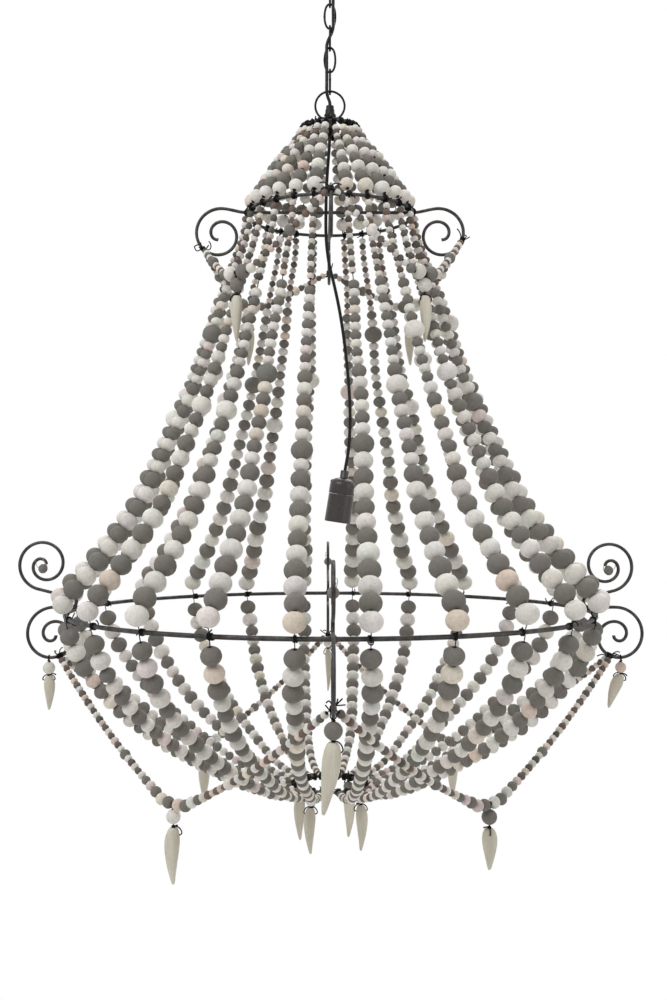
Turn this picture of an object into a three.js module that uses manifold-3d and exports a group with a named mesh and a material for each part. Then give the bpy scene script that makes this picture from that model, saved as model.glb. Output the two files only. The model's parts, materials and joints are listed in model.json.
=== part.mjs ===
// Beaded chandelier, hung from a ceiling by a chain.
// Millimetres, +Z up. The origin is on the ceiling, in the middle of the fixing plate's top face.
// The front is -Y. Azimuths are counted from the front towards +X, so the right side is at a quarter turn.
import * as THREE from 'three';
import { mergeVertices } from 'three/addons/utils/BufferGeometryUtils.js';
import Module from 'manifold-3d';

const wasm = await Module();
wasm.setup();

const FULL_TURN = 2 * Math.PI;
const QUARTER = Math.PI / 2;
const radians = THREE.MathUtils.degToRad;
const SIDES = ['front', 'right', 'back', 'left'];

// What touches keeps this clearance, and a cut runs past its piece by the overrun.
const seat = 0.3;
const overrun = 2;

// Ceiling fitting.
const plate = { length: 96, width: 22, thickness: 2.4 };
const canopy = {
  rimRadius: 60, height: 58, wall: 1.2, footRadius: 17, shoulderHeight: 40, shoulderRadius: 52,
  cordHoleRadius: 3.6, cordHoleOffset: 11, rimClearance: 0.3,
};
const hook = { wireRadius: 2.2, eyeRadius: 8, eyeDrop: 83.9 };

// Chain. The links lie loosely in each other, with a little play.
const link = { length: 41, width: 20, wire: 3.4, play: 0.6 };
const linkCount = 5;
const loop = { radius: 22.6, wire: 3.4 };

// Strain relief and hollow stem inside the loop.
const stem = { radius: 6.5, boreRadius: 3.2, height: 23.5, flangeRadius: 9, flangeHeight: 12.5 };
const grip = { footRadius: 9, collarHeight: 6.7, waistRadius: 7.7, topRadius: 6, height: 20 };

// Rings of the frame. Every drop is taken from the ring above, and firstStrand is the azimuth of each quarter's
// first strand on the ring.
const crownRing = {
  radius: 42, rod: 4, dropFromLoop: 35.5, firstStrand: radians(9), hubRadius: 13, hubHeight: 5,
};
const upperRing = { radius: 128, rod: 5, drop: 134.5, firstStrand: radians(11) };
const mainRing = { radius: 400, rod: 6.4, drop: 610, firstStrand: radians(6.6) };
const bottomRing = { radius: 55, rod: 5, drop: 267, firstStrand: radians(13.5) };

// Bars and scrolls bent from round rod. A scroll's bend radius fades from first to last.
const bar = { rod: 5 };
// Each has the angle that it leaves at, outward and up from level, and the angle that it has turned to at its tip.
const smallScroll = {
  overhang: 78, firstRadius: 40, lastRadius: 7, fadePower: 1.2,
  leadAngle: radians(-10), tipAngle: radians(550),
};
const upperScroll = { lastRadius: 7, fadePower: 1.65, leadAngle: radians(12), tipAngle: radians(556) };
const lowerScroll = { lastRadius: 7, fadePower: 1.2, leadAngle: 0, tipAngle: radians(556) };
const bracket = { rod: 5, bendRadius: 8.6 };
// The two scrolls of each bracket are bent by hand, so they differ by side: their first bend radius, and how far
// they reach past the main ring's middle line.
const upperFirstRadius = { front: 33, right: 38, back: 33, left: 38 };
const lowerFirstRadius = { front: 50, right: 43, back: 50, left: 43 };
const upperOverhang = { front: 66, right: 66, back: 66, left: 79 };
const lowerOverhang = { front: 84, right: 82, back: 84, left: 67 };
// A scroll is bent in this many straight steps. Swags and pendants are tied at a share of its way round, where
// two of the steps meet.
const SCROLL_STEPS = 19;
const pendantShare = 0.32;
const lowerSwagShare = 0.37;
// The crossbars' scrolls hang unevenly, so their swags are tied at different places.
const upperSwagShares = { front: 0.11, right: 0.21, back: 0.21, left: 0.26 };

// Strands of beads on wire.
const strand = { perQuarter: 6, wireRadius: 0.8 };
// How far a bead keeps its full width to each side of its middle, as a share of its radius.
const flatShare = 0.5;
// Profiles between two rings, as shares of the way out and of the way down, with the bead's size at each place.
const crownShares = [[0.07, 0.07], [0.48, 0.44], [0.92, 0.88]];
const crownBeads = [10.2, 16.8, 23.5];
const upperShares = [
  [0.013, 0.018], [0.12, 0.17], [0.165, 0.23], [0.265, 0.364], [0.371, 0.487], [0.493, 0.605], [0.605, 0.716],
  [0.757, 0.813], [0.897, 0.892], [0.978, 0.93], [1.03, 0.96],
];
const upperBeads = [9.6, 10.6, 15.6, 17, 20.5, 23, 26.5, 28, 30, 30, 29];
const lowerShares = [
  [0.003, 0.09], [0.05, 0.23], [0.16, 0.43], [0.33, 0.63], [0.55, 0.82], [0.8, 0.98], [0.96, 1.005],
];
const lowerBeads = [27, 23.5, 20.5, 17, 14, 11.5, 10];
const accentBead = 30;
// Where the one oversized bead of each strand sits, as a share of the way down its upper run.
const accentShares = [
  0.626, 0.49, 0.325, 0.4, 0.48, 0.3, 0.4, 0.28, 0.33, 0.48, 0.27, 0.42,
  0.36, 0.52, 0.4, 0.45, 0.38, 0.28, 0.5, 0.33, 0.49, 0.5, 0.43, 0.626,
];

// Swags of small beads.
// Their lowest point stands off the strands of its own height.
const upperSwag = { bead: 9.6, middleBead: 22, standoff: 25.4, middleDrop: 115, sag: 3 };
const lowerSwag = { bead: 10, middleBead: 17, standoff: 144.7, middleDrop: 244, sag: 12 };
// The bare wire between the two middle beads of a swag, where its pendant's eye sits.
const eyeRoom = 4;

// Pendants: a bead and a tooth, hung by a wire eye. The wire shows above and below the bead, for the length of
// its stem, and ends in the tooth.
const pendantWire = 0.8;
const pendantBite = 5;
const toothTip = 1.6;
// Half profiles of the hung bead and of the tooth below it, as shares of the half width and of the height.
const hungBeadShares = [[0.8, 0.2], [1, 0.5], [0.8, 0.8]];
const toothShares = [[0.66, 0.6], [1, 0.25], [0.7, 0]];
const TOOTH = {
  swag_upper: { bead: 20.5, width: 17, length: 66, tilt: 0, stem: 5 },
  swag_lower: { bead: 20, width: 20, length: 70, tilt: 0, stem: 5 },
  ring: { bead: 16, width: 18, length: 70, tilt: 0, stem: 2.5 },
  bracket: { bead: 18, width: 18, length: 62, tilt: 0, stem: 2.5 },
};
// Pieces that are unlike the others of their kind.
const TOOTH_OWN = {
  pendant_bracket_front: { bead: 22, width: 22.5, length: 86, tilt: radians(8) },
  pendant_bracket_right: { bead: 17, width: 18, length: 55, tilt: radians(20) },
  pendant_bracket_back: { bead: 17, width: 13, length: 82 },
  pendant_bracket_left: { bead: 19, width: 17, length: 53 },
  pendant_swag_lower_2: { width: 18, length: 62 },
  pendant_swag_lower_1: { bead: 21, width: 21, length: 57 },
  pendant_swag_lower_4: { width: 21, length: 78 },
};
// The four pendants of the bottom ring hang between the fourth and fifth strand of each quarter.
const ringPendantPlace = 3.5;

// Lamp on its flex. The cord's points were laid by hand: x, y and the height under the loop's middle.
const flex = { radius: 2.5, step: 15 };
const supplyRoute = [
  [0, -0.1, 3], [-0.9, -0.8, 7.5], [-3.1, -2.4, 12.5], [-4.7, -4, 18], [-5.1, -5, 24], [-5, -5, 32], [-5, -5, 60],
  [-5, -5, 82],
  [-4.9, -4.6, 92], [-2.7, -3.2, 100], [0, -2.8, 106], [2.7, -3.2, 112], [4.9, -4.6, 120], [5, -4.9, 130],
  [4.9, -4.9, 160], [5.2, -5.2, 185], [6.6, -6.6, 203], [7.8, -7.8, 216],
];
const lampRoute = [
  [0, 0, -14], [0, 0, -28], [0, 0, -40], [-1, -1.2, -62], [-3.4, -4, -95], [-5.8, -5.9, -140], [-6.2, -6.2, -165],
  [-6.4, -6.2, -180], [-5.2, -5.6, -215], [-1.2, -4.4, -245], [6, -3.2, -275], [13, -2, -307], [19.5, -1, -345],
  [25, 0, -388], [29, 0, -430], [31, 0, -470], [30.6, 0, -505], [27.6, 0, -538], [23.2, 0, -563],
];
const holder = {
  tilt: radians(8.5), radius: 20, length: 76, neckRadius: 6.4, neckLength: 12, shoulderLength: 10,
  capLength: 32, wall: 3, socketRadius: 13.4, socketDepth: 30, bite: 5,
};

const colours = {
  iron: 0x4a4a48, blackened: 0x242322, bead: 0xb9b5b0, tooth: 0xe2ddd0, bakelite: 0x2c2724,
  flex: 0x1a1919, canopy: 0x2b2a29, steel: 0x8c8c8a,
};
const finishes = {
  iron: new THREE.MeshStandardMaterial({ color: colours.iron, roughness: 0.55, metalness: 0.8 }),
  blackened: new THREE.MeshStandardMaterial({ color: colours.blackened, roughness: 0.6, metalness: 0.7 }),
  bead: new THREE.MeshStandardMaterial({ color: colours.bead, roughness: 0.85, metalness: 0 }),
  tooth: new THREE.MeshStandardMaterial({ color: colours.tooth, roughness: 0.5, metalness: 0 }),
  bakelite: new THREE.MeshStandardMaterial({ color: colours.bakelite, roughness: 0.35, metalness: 0 }),
  flex: new THREE.MeshStandardMaterial({ color: colours.flex, roughness: 0.5, metalness: 0 }),
  canopy: new THREE.MeshStandardMaterial({ color: colours.canopy, roughness: 0.45, metalness: 0.7 }),
  steel: new THREE.MeshStandardMaterial({ color: colours.steel, roughness: 0.4, metalness: 0.9 }),
};

// How many sides, segments and steps round bodies have.
const ROD_SIDES = 6;
const RING_SIDES = 5;
const STRAND_SIDES = 5;
const PENDANT_SIDES = 6;
const TOOTH_SIDES = 7;
const EYE_WIRE_SIDES = 4;
const FLEX_SIDES = 8;
const LINK_SEGMENTS = 18;
const LOOP_SEGMENTS = 20;
const CASE_SEGMENTS = 16;
const STEM_SEGMENTS = 12;
const HOOK_SIDES = 8;
const EYE_SEGMENTS = 14;
const BEND_STEPS = 4;
const SWAG_STEPS = 2;
// Rings have a corner at or beside each strand, so that the strands lie close to them.
const STRAND_SEGMENTS = SIDES.length * strand.perQuarter;
// Points closer than this are one point.
const WELD = 1e-3;

// Heights worked out from the sizes above.
const hookWireZ = -hook.eyeDrop - hook.eyeRadius;
const linkStep = link.length - 2 * link.wire - link.play;
const firstLinkTop = hookWireZ + hook.wireRadius + link.wire / 2 + link.play;
const linkTop = (k) => firstLinkTop - k * linkStep;
const lastWireZ = linkTop(linkCount - 1) - (link.length - link.wire);
const loopTopWireZ = lastWireZ + (link.wire + loop.wire) / 2 + link.play;
const loopZ = loopTopWireZ - loop.radius;
const crownZ = loopZ - crownRing.dropFromLoop;
const upperZ = crownZ - upperRing.drop;
const mainZ = upperZ - mainRing.drop;
const bottomZ = mainZ - bottomRing.drop;
const stemTopZ = crownZ + crownRing.hubHeight / 2 + seat + stem.flangeHeight;
const gripFootZ = stemTopZ + seat;

// Plan direction of an azimuth, and the point at a radius and a height on it.
const outward = (azimuth) => new THREE.Vector3(Math.sin(azimuth), -Math.cos(azimuth), 0);
const at = (azimuth, radius, z) => outward(azimuth).multiplyScalar(radius).setZ(z);

const group = new THREE.Group();

// Adds one named piece to the chandelier.
function add(name, geometry, finish) {
  const mesh = new THREE.Mesh(geometry, finish);
  mesh.name = name;
  group.add(mesh);
  return mesh;
}

// A body swept along stations, each a point and a radius. The section is turned along without twist.
function sweep(stations, sides, { closed = false, firstNormal = null } = {}) {
  const count = stations.length;
  const points = stations.map((s) => s.point);
  const tangents = points.map((p, i) => {
    const before = closed ? points[(i + count - 1) % count] : points[Math.max(i - 1, 0)];
    const after = closed ? points[(i + 1) % count] : points[Math.min(i + 1, count - 1)];
    return after.clone().sub(before).normalize();
  });
  const { x, y, z } = tangents[0];
  const normal = firstNormal ? firstNormal.clone() : new THREE.Vector3(z, x, y);
  normal.addScaledVector(tangents[0], -normal.dot(tangents[0])).normalize();
  const vertices = [];
  for (let i = 0; i < count; i += 1) {
    normal.addScaledVector(tangents[i], -normal.dot(tangents[i])).normalize();
    const binormal = tangents[i].clone().cross(normal);
    for (let j = 0; j < sides; j += 1) {
      const angle = (j / sides) * FULL_TURN;
      const v = points[i].clone()
        .addScaledVector(normal, stations[i].radius * Math.cos(angle))
        .addScaledVector(binormal, stations[i].radius * Math.sin(angle));
      vertices.push(v.x, v.y, v.z);
    }
  }
  const faces = [];
  const spans = closed ? count : count - 1;
  for (let i = 0; i < spans; i += 1) {
    const here = i * sides;
    const next = ((i + 1) % count) * sides;
    for (let j = 0; j < sides; j += 1) {
      const k = (j + 1) % sides;
      faces.push(here + j, here + k, next + k, here + j, next + k, next + j);
    }
  }
  if (!closed) {
    const last = (count - 1) * sides;
    for (let j = 1; j < sides - 1; j += 1) {
      faces.push(0, j + 1, j, last, last + j, last + j + 1);
    }
  }
  const geometry = new THREE.BufferGeometry();
  geometry.setAttribute('position', new THREE.Float32BufferAttribute(vertices, 3));
  geometry.setIndex(faces);
  return geometry;
}

// A rod of one radius through points.
const rodThrough = (points, radius, sides, options) => (
  sweep(points.map((point) => ({ point, radius })), sides, options)
);

// A turned body about Z from a profile of [radius, height] pairs, listed from the bottom up on the outside.
const turned = (profile, segments) => (
  new THREE.LatheGeometry(profile.map(([r, z]) => new THREE.Vector2(r, z)), segments).rotateX(QUARTER)
);

// An upright round bar between two heights, about Z.
const upright = (radius, footZ, topZ, sides = STEM_SEGMENTS) => (
  new THREE.CylinderGeometry(radius, radius, topZ - footZ, sides)
    .rotateX(QUARTER)
    .translate(0, 0, (topZ + footZ) / 2)
);

// Joins and cuts on closed bodies.
function solidOf(geometry) {
  const bare = geometry.clone();
  bare.deleteAttribute('normal');
  bare.deleteAttribute('uv');
  const merged = mergeVertices(bare, WELD);
  return new wasm.Manifold(new wasm.Mesh({
    numProp: 3,
    vertProperties: new Float32Array(merged.attributes.position.array),
    triVerts: new Uint32Array(merged.index.array),
  }));
}

function geometryOf(solid) {
  const mesh = solid.getMesh();
  const geometry = new THREE.BufferGeometry();
  geometry.setAttribute('position', new THREE.Float32BufferAttribute(mesh.vertProperties, 3));
  geometry.setIndex(Array.from(mesh.triVerts));
  return geometry;
}

const joined = (...bodies) => geometryOf(bodies.map(solidOf).reduce((all, next) => all.add(next)));
const cut = (body, ...tools) => geometryOf(
  tools.map(solidOf).reduce((left, tool) => left.subtract(tool), solidOf(body)),
);

// The bend radius of a scroll at a share t of its sweep.
const bendRadius = (scroll, t) => (
  scroll.lastRadius + (scroll.firstRadius - scroll.lastRadius) * (1 - t ** scroll.fadePower)
);

// Points of a scroll as [u, w] from its start: from its lead heading outward, and then round.
// way is 1 for one that turns up and -1 for one that turns down.
function scrollLine(scroll, way, steps) {
  const substeps = 6;
  const total = steps * substeps;
  const turn = (scroll.tipAngle - scroll.leadAngle) / total;
  const points = [];
  let u = 0;
  let w = 0;
  for (let i = 0; i <= total; i += 1) {
    if (i % substeps === 0) points.push([u, way * w]);
    const middle = scroll.leadAngle + turn * (i + 0.5);
    const length = bendRadius(scroll, (i + 0.5) / total) * turn;
    u += length * Math.cos(middle);
    w += length * Math.sin(middle);
  }
  return points;
}

// How far a scroll reaches out from its start.
const scrollReach = (scroll) => Math.max(...scrollLine(scroll, 1, SCROLL_STEPS).map(([u]) => u));

// Ceiling plate, canopy and hook.
function addCeilingFitting() {
  const strap = new THREE.BoxGeometry(plate.length, plate.width, plate.thickness)
    .translate(0, 0, -plate.thickness / 2);
  add('ceiling_plate', strap, finishes.steel);

  const inner = canopy.rimRadius - canopy.wall;
  const rimZ = -canopy.rimClearance;
  const hookHole = hook.wireRadius + seat;
  const cup = turned([
    [hookHole, -canopy.height], [canopy.footRadius, -canopy.height],
    [canopy.shoulderRadius, -canopy.shoulderHeight], [canopy.rimRadius, rimZ], [inner, rimZ],
    [canopy.shoulderRadius - canopy.wall, canopy.wall - canopy.shoulderHeight],
    [canopy.footRadius, canopy.wall - canopy.height], [hookHole, canopy.wall - canopy.height],
    [hookHole, -canopy.height],
  ], CASE_SEGMENTS);
  const side = canopy.cordHoleOffset * Math.SQRT1_2;
  const drill = upright(canopy.cordHoleRadius, -canopy.height - overrun, canopy.wall - canopy.height + overrun)
    .translate(side, -side, 0);
  add('ceiling_canopy', cut(cup, drill), finishes.canopy);

  const shankTop = -plate.thickness - seat;
  const shankBottom = -hook.eyeDrop + hook.eyeRadius;
  const shank = upright(hook.wireRadius, shankBottom, shankTop, HOOK_SIDES);
  const eye = new THREE.TorusGeometry(hook.eyeRadius, hook.wireRadius, RING_SIDES, EYE_SEGMENTS)
    .rotateX(QUARTER)
    .translate(0, 0, -hook.eyeDrop);
  add('canopy_hook', joined(shank, eye), finishes.blackened);
}

// One oval link with its long way down. across is the direction of its width.
function linkGeometry(topZ, across) {
  const halfLength = (link.length - link.wire) / 2;
  const halfWidth = (link.width - link.wire) / 2;
  const points = [];
  for (let i = 0; i < LINK_SEGMENTS; i += 1) {
    const angle = (i / LINK_SEGMENTS) * FULL_TURN;
    points.push(across.clone().multiplyScalar(halfWidth * Math.sin(angle))
      .setZ(topZ - halfLength + halfLength * Math.cos(angle)));
  }
  const face = new THREE.Vector3(-across.y, across.x, 0);
  return rodThrough(points, link.wire / 2, RING_SIDES, { closed: true, firstNormal: face });
}

function addChain() {
  for (let k = 0; k < linkCount; k += 1) {
    const across = k % 2 === 0 ? new THREE.Vector3(0, 1, 0) : new THREE.Vector3(1, 0, 0);
    add(`chain_link_${k + 1}`, linkGeometry(linkTop(k), across), finishes.blackened);
  }
}

// The round loop with its hollow stem, the strain relief in it, and the crown ring on its spider.
function addCrown() {
  const ring = new THREE.TorusGeometry(loop.radius, loop.wire / 2, RING_SIDES, LOOP_SEGMENTS)
    .rotateX(QUARTER)
    .translate(0, 0, loopZ);
  const stemFootZ = stemTopZ - stem.height;
  const boss = upright(stem.flangeRadius, stemTopZ - stem.flangeHeight, stemTopZ);
  const tube = upright(stem.radius, stemFootZ, stemTopZ - stem.flangeHeight / 2);
  const bore = upright(stem.boreRadius, stemFootZ - overrun, stemTopZ + overrun);
  const gripRoom = upright(grip.footRadius + seat, stemTopZ, stemTopZ + loop.wire + 2 * seat);
  add('hanging_loop', cut(joined(cut(ring, gripRoom), boss, tube), bore), finishes.blackened);

  const gripTopZ = gripFootZ + grip.height;
  const collarZ = gripFootZ + grip.collarHeight;
  add('cord_grip', turned([
    [stem.boreRadius, gripFootZ], [grip.footRadius, gripFootZ], [grip.footRadius, collarZ],
    [grip.waistRadius, collarZ], [grip.topRadius, gripTopZ], [stem.boreRadius, gripTopZ],
    [stem.boreRadius, gripFootZ],
  ], STEM_SEGMENTS), finishes.bakelite);

  const rim = new THREE.TorusGeometry(crownRing.radius, crownRing.rod / 2, RING_SIDES, STRAND_SEGMENTS)
    .translate(0, 0, crownZ);
  const hubFootZ = crownZ - crownRing.hubHeight / 2;
  const hubTopZ = crownZ + crownRing.hubHeight / 2;
  const hub = upright(crownRing.hubRadius, hubFootZ, hubTopZ);
  const hubBore = upright(stem.radius + seat, hubFootZ - overrun, hubTopZ + overrun);
  const spokeRadius = crownRing.rod / 2;
  const spoke = new THREE.CylinderGeometry(spokeRadius, spokeRadius, 2 * crownRing.radius, ROD_SIDES)
    .translate(0, 0, crownZ);
  const spider = joined(rim, spoke, spoke.clone().rotateZ(QUARTER), hub);
  add('crown_ring', cut(spider, hubBore), finishes.blackened);
}

function addRings() {
  add('upper_ring', new THREE.TorusGeometry(upperRing.radius, upperRing.rod / 2, RING_SIDES, STRAND_SEGMENTS)
    .rotateZ(Math.PI / STRAND_SEGMENTS)
    .translate(0, 0, upperZ), finishes.iron);
  add('main_ring', new THREE.TorusGeometry(mainRing.radius, mainRing.rod / 2, RING_SIDES, 2 * STRAND_SEGMENTS)
    .translate(0, 0, mainZ), finishes.iron);
  add('bottom_ring', new THREE.TorusGeometry(bottomRing.radius, bottomRing.rod / 2, RING_SIDES, STRAND_SEGMENTS)
    .translate(0, 0, bottomZ), finishes.iron);
}

// Places [u, w] points of an upright plane at an azimuth.
const placed = (points, azimuth, z) => points.map(([u, w]) => at(azimuth, u, z + w));

// The height of a crossbar: the first lies on the upper ring, and the second under it.
const crossbarZ = (under) => upperZ + (under ? -1 : 1) * (upperRing.rod / 2 + bar.rod / 2 + seat);
const smallScrollStart = upperRing.radius + smallScroll.overhang - scrollReach(smallScroll);
// A small scroll's lead rises from the ring to where the scroll starts.
const smallLeadRise = (smallScrollStart - upperRing.radius) * Math.tan(-smallScroll.leadAngle);

function addCrossbars() {
  const bars = [['crossbar_left_right', QUARTER, false], ['crossbar_front_back', 0, true]];
  bars.forEach(([name, azimuth, under]) => {
    const half = [[upperRing.radius, 0]].concat(
      scrollLine(smallScroll, -1, SCROLL_STEPS).map(([u, w]) => [smallScrollStart + u, smallLeadRise + w]),
    );
    const far = placed(half, azimuth, crossbarZ(under));
    const near = placed(half, azimuth + Math.PI, crossbarZ(under)).reverse();
    add(name, rodThrough(near.concat(far), bar.rod / 2, ROD_SIDES, {
      firstNormal: outward(azimuth + QUARTER),
    }), finishes.iron);
  });
}

// A bracket's lower leg lies on the main ring, and its upper leg comes back over it.
const lowerLegZ = mainZ + mainRing.rod / 2 + bracket.rod / 2 + seat;
const upperLegZ = lowerLegZ + 2 * bracket.bendRadius;
const upperBend = (side) => ({ ...upperScroll, firstRadius: upperFirstRadius[side] });
const lowerBend = (side) => ({ ...lowerScroll, firstRadius: lowerFirstRadius[side] });
const upperScrollStart = (side) => mainRing.radius + upperOverhang[side] - scrollReach(upperBend(side));
const lowerScrollStart = (side) => mainRing.radius + lowerOverhang[side] - scrollReach(lowerBend(side));

function addBrackets() {
  SIDES.forEach((side, index) => {
    const azimuth = index * QUARTER;
    const lead = upperScrollStart(side) - mainRing.radius;
    const rise = lead * Math.tan(upperScroll.leadAngle);
    const upper = scrollLine(upperBend(side), 1, SCROLL_STEPS)
      .map(([u, w]) => [upperScrollStart(side) + u, upperLegZ - mainZ + rise + w]);
    const bend = [];
    for (let i = 0; i <= BEND_STEPS; i += 1) {
      const angle = QUARTER + (i / BEND_STEPS) * Math.PI;
      bend.push([
        mainRing.radius + bracket.bendRadius * Math.cos(angle),
        lowerLegZ - mainZ + bracket.bendRadius * (1 + Math.sin(angle)),
      ]);
    }
    const lower = scrollLine(lowerBend(side), -1, SCROLL_STEPS)
      .map(([u, w]) => [lowerScrollStart(side) + u, lowerLegZ - mainZ + w]);
    const line = upper.reverse().concat(bend, lower);
    add(`scroll_bracket_${side}`, rodThrough(placed(line, azimuth, mainZ), bracket.rod / 2, ROD_SIDES, {
      firstNormal: outward(azimuth + QUARTER),
    }), finishes.iron);
  });
}

// A profile between two rings as [radius, height] points.
const between = (shares, high, highZ, low, lowZ) => shares.map(([out, down]) => [
  high.radius + (low.radius - high.radius) * out, highZ + (lowZ - highZ) * down,
]);

// Stations of one run of beads down a profile.
const runStations = (profile, sizes) => profile.map(([r, z], i) => ({ r, z, radius: sizes[i] / 2 }));

// The same stations with one oversized bead at a height.
function withAccent(stations, height) {
  const k = stations.findIndex((s) => s.z < height) - 1;
  const here = stations[k];
  const next = stations[k + 1];
  const slope = (next.r - here.r) / (here.z - next.z);
  const spot = (z, radius) => ({ r: here.r + slope * (here.z - z), z, radius });
  const plain = (here.radius + next.radius) / 2;
  const half = accentBead / 2;
  const flat = half * flatShare;
  const bead = [spot(height + half, plain), spot(height + flat, half), spot(height - flat, half),
    spot(height - half, plain)];
  const clear = stations.filter((s) => Math.abs(s.z - height) > half);
  return clear.concat(bead).sort((a, b) => b.z - a.z);
}

// The azimuth on a ring of a place in a quarter, counted in strands from the quarter's first.
const placeOn = (ring, place) => (
  ring.firstStrand + (place * (QUARTER - 2 * ring.firstStrand)) / (strand.perQuarter - 1)
);

// The azimuth of a strand at a radius between two rings.
function strandAzimuth(index, r, high, low) {
  const out = (r - high.radius) / (low.radius - high.radius);
  const place = index % strand.perQuarter;
  const quarter = Math.floor(index / strand.perQuarter) * QUARTER;
  return quarter + placeOn(high, place) + (placeOn(low, place) - placeOn(high, place)) * out;
}

// One strand from the crown ring to the bottom ring. It passes outside each ring.
function strandStations(index) {
  const radius = strand.wireRadius;
  const beside = (ring, z) => ({ r: ring.radius + ring.rod / 2 + seat + radius, z, radius });
  const crown = runStations(between(crownShares, crownRing, crownZ, upperRing, upperZ), crownBeads);
  const upper = withAccent(
    runStations(between(upperShares, upperRing, upperZ, mainRing, mainZ), upperBeads),
    upperZ - mainRing.drop * accentShares[index],
  );
  const lower = runStations(between(lowerShares, mainRing, mainZ, bottomRing, bottomZ), lowerBeads);
  const end = { r: bottomRing.radius + bottomRing.rod / 2 + seat, z: bottomZ, radius };
  const strung = (stations, high, low) => stations.map((s) => (
    { point: at(strandAzimuth(index, s.r, high, low), s.r, s.z), radius: s.radius }
  ));
  return [
    ...strung([beside(crownRing, crownZ), ...crown, beside(upperRing, upperZ + upperRing.rod / 2)],
      crownRing, upperRing),
    ...strung([
      beside(upperRing, upperZ - upperRing.rod / 2), ...upper, beside(mainRing, mainZ + mainRing.rod / 2),
    ], upperRing, mainRing),
    ...strung([beside(mainRing, mainZ - mainRing.rod / 2), ...lower, end], mainRing, bottomRing),
  ];
}

// Two strands and the wire along the crown ring between them.
function addStrands() {
  for (let pair = 0; pair < (SIDES.length * strand.perQuarter) / 2; pair += 1) {
    const [first, second] = [2 * pair, 2 * pair + 1];
    const [here, there] = [first, second].map((k) => strandAzimuth(k, crownRing.radius, crownRing, upperRing));
    const beside = crownRing.radius + crownRing.rod / 2 + seat + strand.wireRadius;
    const top = { point: at((here + there) / 2, beside, crownZ), radius: strand.wireRadius };
    const stations = [...strandStations(first).reverse(), top, ...strandStations(second)];
    add(`strand_pair_${String(pair + 1).padStart(2, '0')}`, sweep(stations, STRAND_SIDES, {
      firstNormal: outward(here + QUARTER),
    }), finishes.bead);
  }
}

// Where a downward scroll's rod is at a share of its way round, in its upright plane, and which way it runs there.
function tieOn(start, startZ, scroll, share) {
  const step = Math.round(share * SCROLL_STEPS);
  const [u, w] = scrollLine(scroll, -1, SCROLL_STEPS)[step];
  const heading = scroll.leadAngle + ((scroll.tipAngle - scroll.leadAngle) * step) / SCROLL_STEPS;
  return { u: start + u, z: startZ + w, run: [Math.cos(heading), -Math.sin(heading)] };
}

const swagTie = {
  upper: (side) => tieOn(
    smallScrollStart, crossbarZ(side === 'front' || side === 'back') + smallLeadRise, smallScroll,
    upperSwagShares[side],
  ),
  lower: (side) => tieOn(lowerScrollStart(side), lowerLegZ, lowerBend(side), lowerSwagShare),
};

// A swag from one side's scroll to the next side's, by its lowest point halfway round.
function addSwag(name, swag, tie, rodRadius, index) {
  const side = SIDES[index];
  const nextSide = SIDES[(index + 1) % SIDES.length];
  const off = rodRadius + strand.wireRadius + seat;
  const endOn = (which, azimuth, way) => {
    const { u, z } = tie(which);
    return at(azimuth, u, z).addScaledVector(outward(azimuth + QUARTER), way * off);
  };
  const middleAzimuth = (index + 0.5) * QUARTER;
  const middle = at(middleAzimuth, middleRadius(swag), middleZ(swag));
  const along = outward(middleAzimuth + QUARTER);
  const wire = strand.wireRadius;
  const bead = swag.bead / 2;
  const half = (end, way) => {
    const inner = middle.clone().addScaledVector(along, -way * (eyeRoom / 2 + swag.middleBead));
    const stations = [{ point: end, radius: wire }];
    const length = end.distanceTo(inner);
    for (let i = 0; i <= SWAG_STEPS; i += 1) {
      const t = (bead + (length - bead) * (i / SWAG_STEPS)) / length;
      const point = end.clone().lerp(inner, t);
      point.z -= swag.sag * 4 * t * (1 - t);
      stations.push({ point, radius: bead });
    }
    const big = swag.middleBead / 2;
    const bigMiddle = eyeRoom / 2 + big;
    const flat = big * flatShare;
    [[bigMiddle + flat, big], [bigMiddle - flat, big], [eyeRoom / 2, wire]].forEach(([distance, radius]) => {
      stations.push({ point: middle.clone().addScaledVector(along, -way * distance), radius });
    });
    return stations;
  };
  const first = half(endOn(side, index * QUARTER, 1), 1);
  const last = half(endOn(nextSide, (index + 1) * QUARTER, -1), -1).reverse();
  add(name, sweep(first.concat(last), STRAND_SIDES), finishes.bead);
}

// The height of a swag's lowest point, from the ring that its brackets stand on.
const middleZ = (swag) => (swag === upperSwag ? upperZ : mainZ) - swag.middleDrop;

// The radius of a swag's lowest point, from the strands' profile at that height.
function middleRadius(swag) {
  const profile = swag === upperSwag
    ? between(upperShares, upperRing, upperZ, mainRing, mainZ)
    : between(lowerShares, mainRing, mainZ, bottomRing, bottomZ);
  const k = profile.findIndex(([, z]) => z < middleZ(swag));
  const [[above, aboveZ], [below, belowZ]] = [profile[k - 1], profile[k]];
  return above + ((below - above) * (aboveZ - middleZ(swag))) / (aboveZ - belowZ) + swag.standoff;
}

function addSwags() {
  SIDES.forEach((side, index) => {
    addSwag(`swag_upper_${index + 1}`, upperSwag, swagTie.upper, bar.rod / 2, index);
    addSwag(`swag_lower_${index + 1}`, lowerSwag, swagTie.lower, bracket.rod / 2, index);
  });
}

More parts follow.
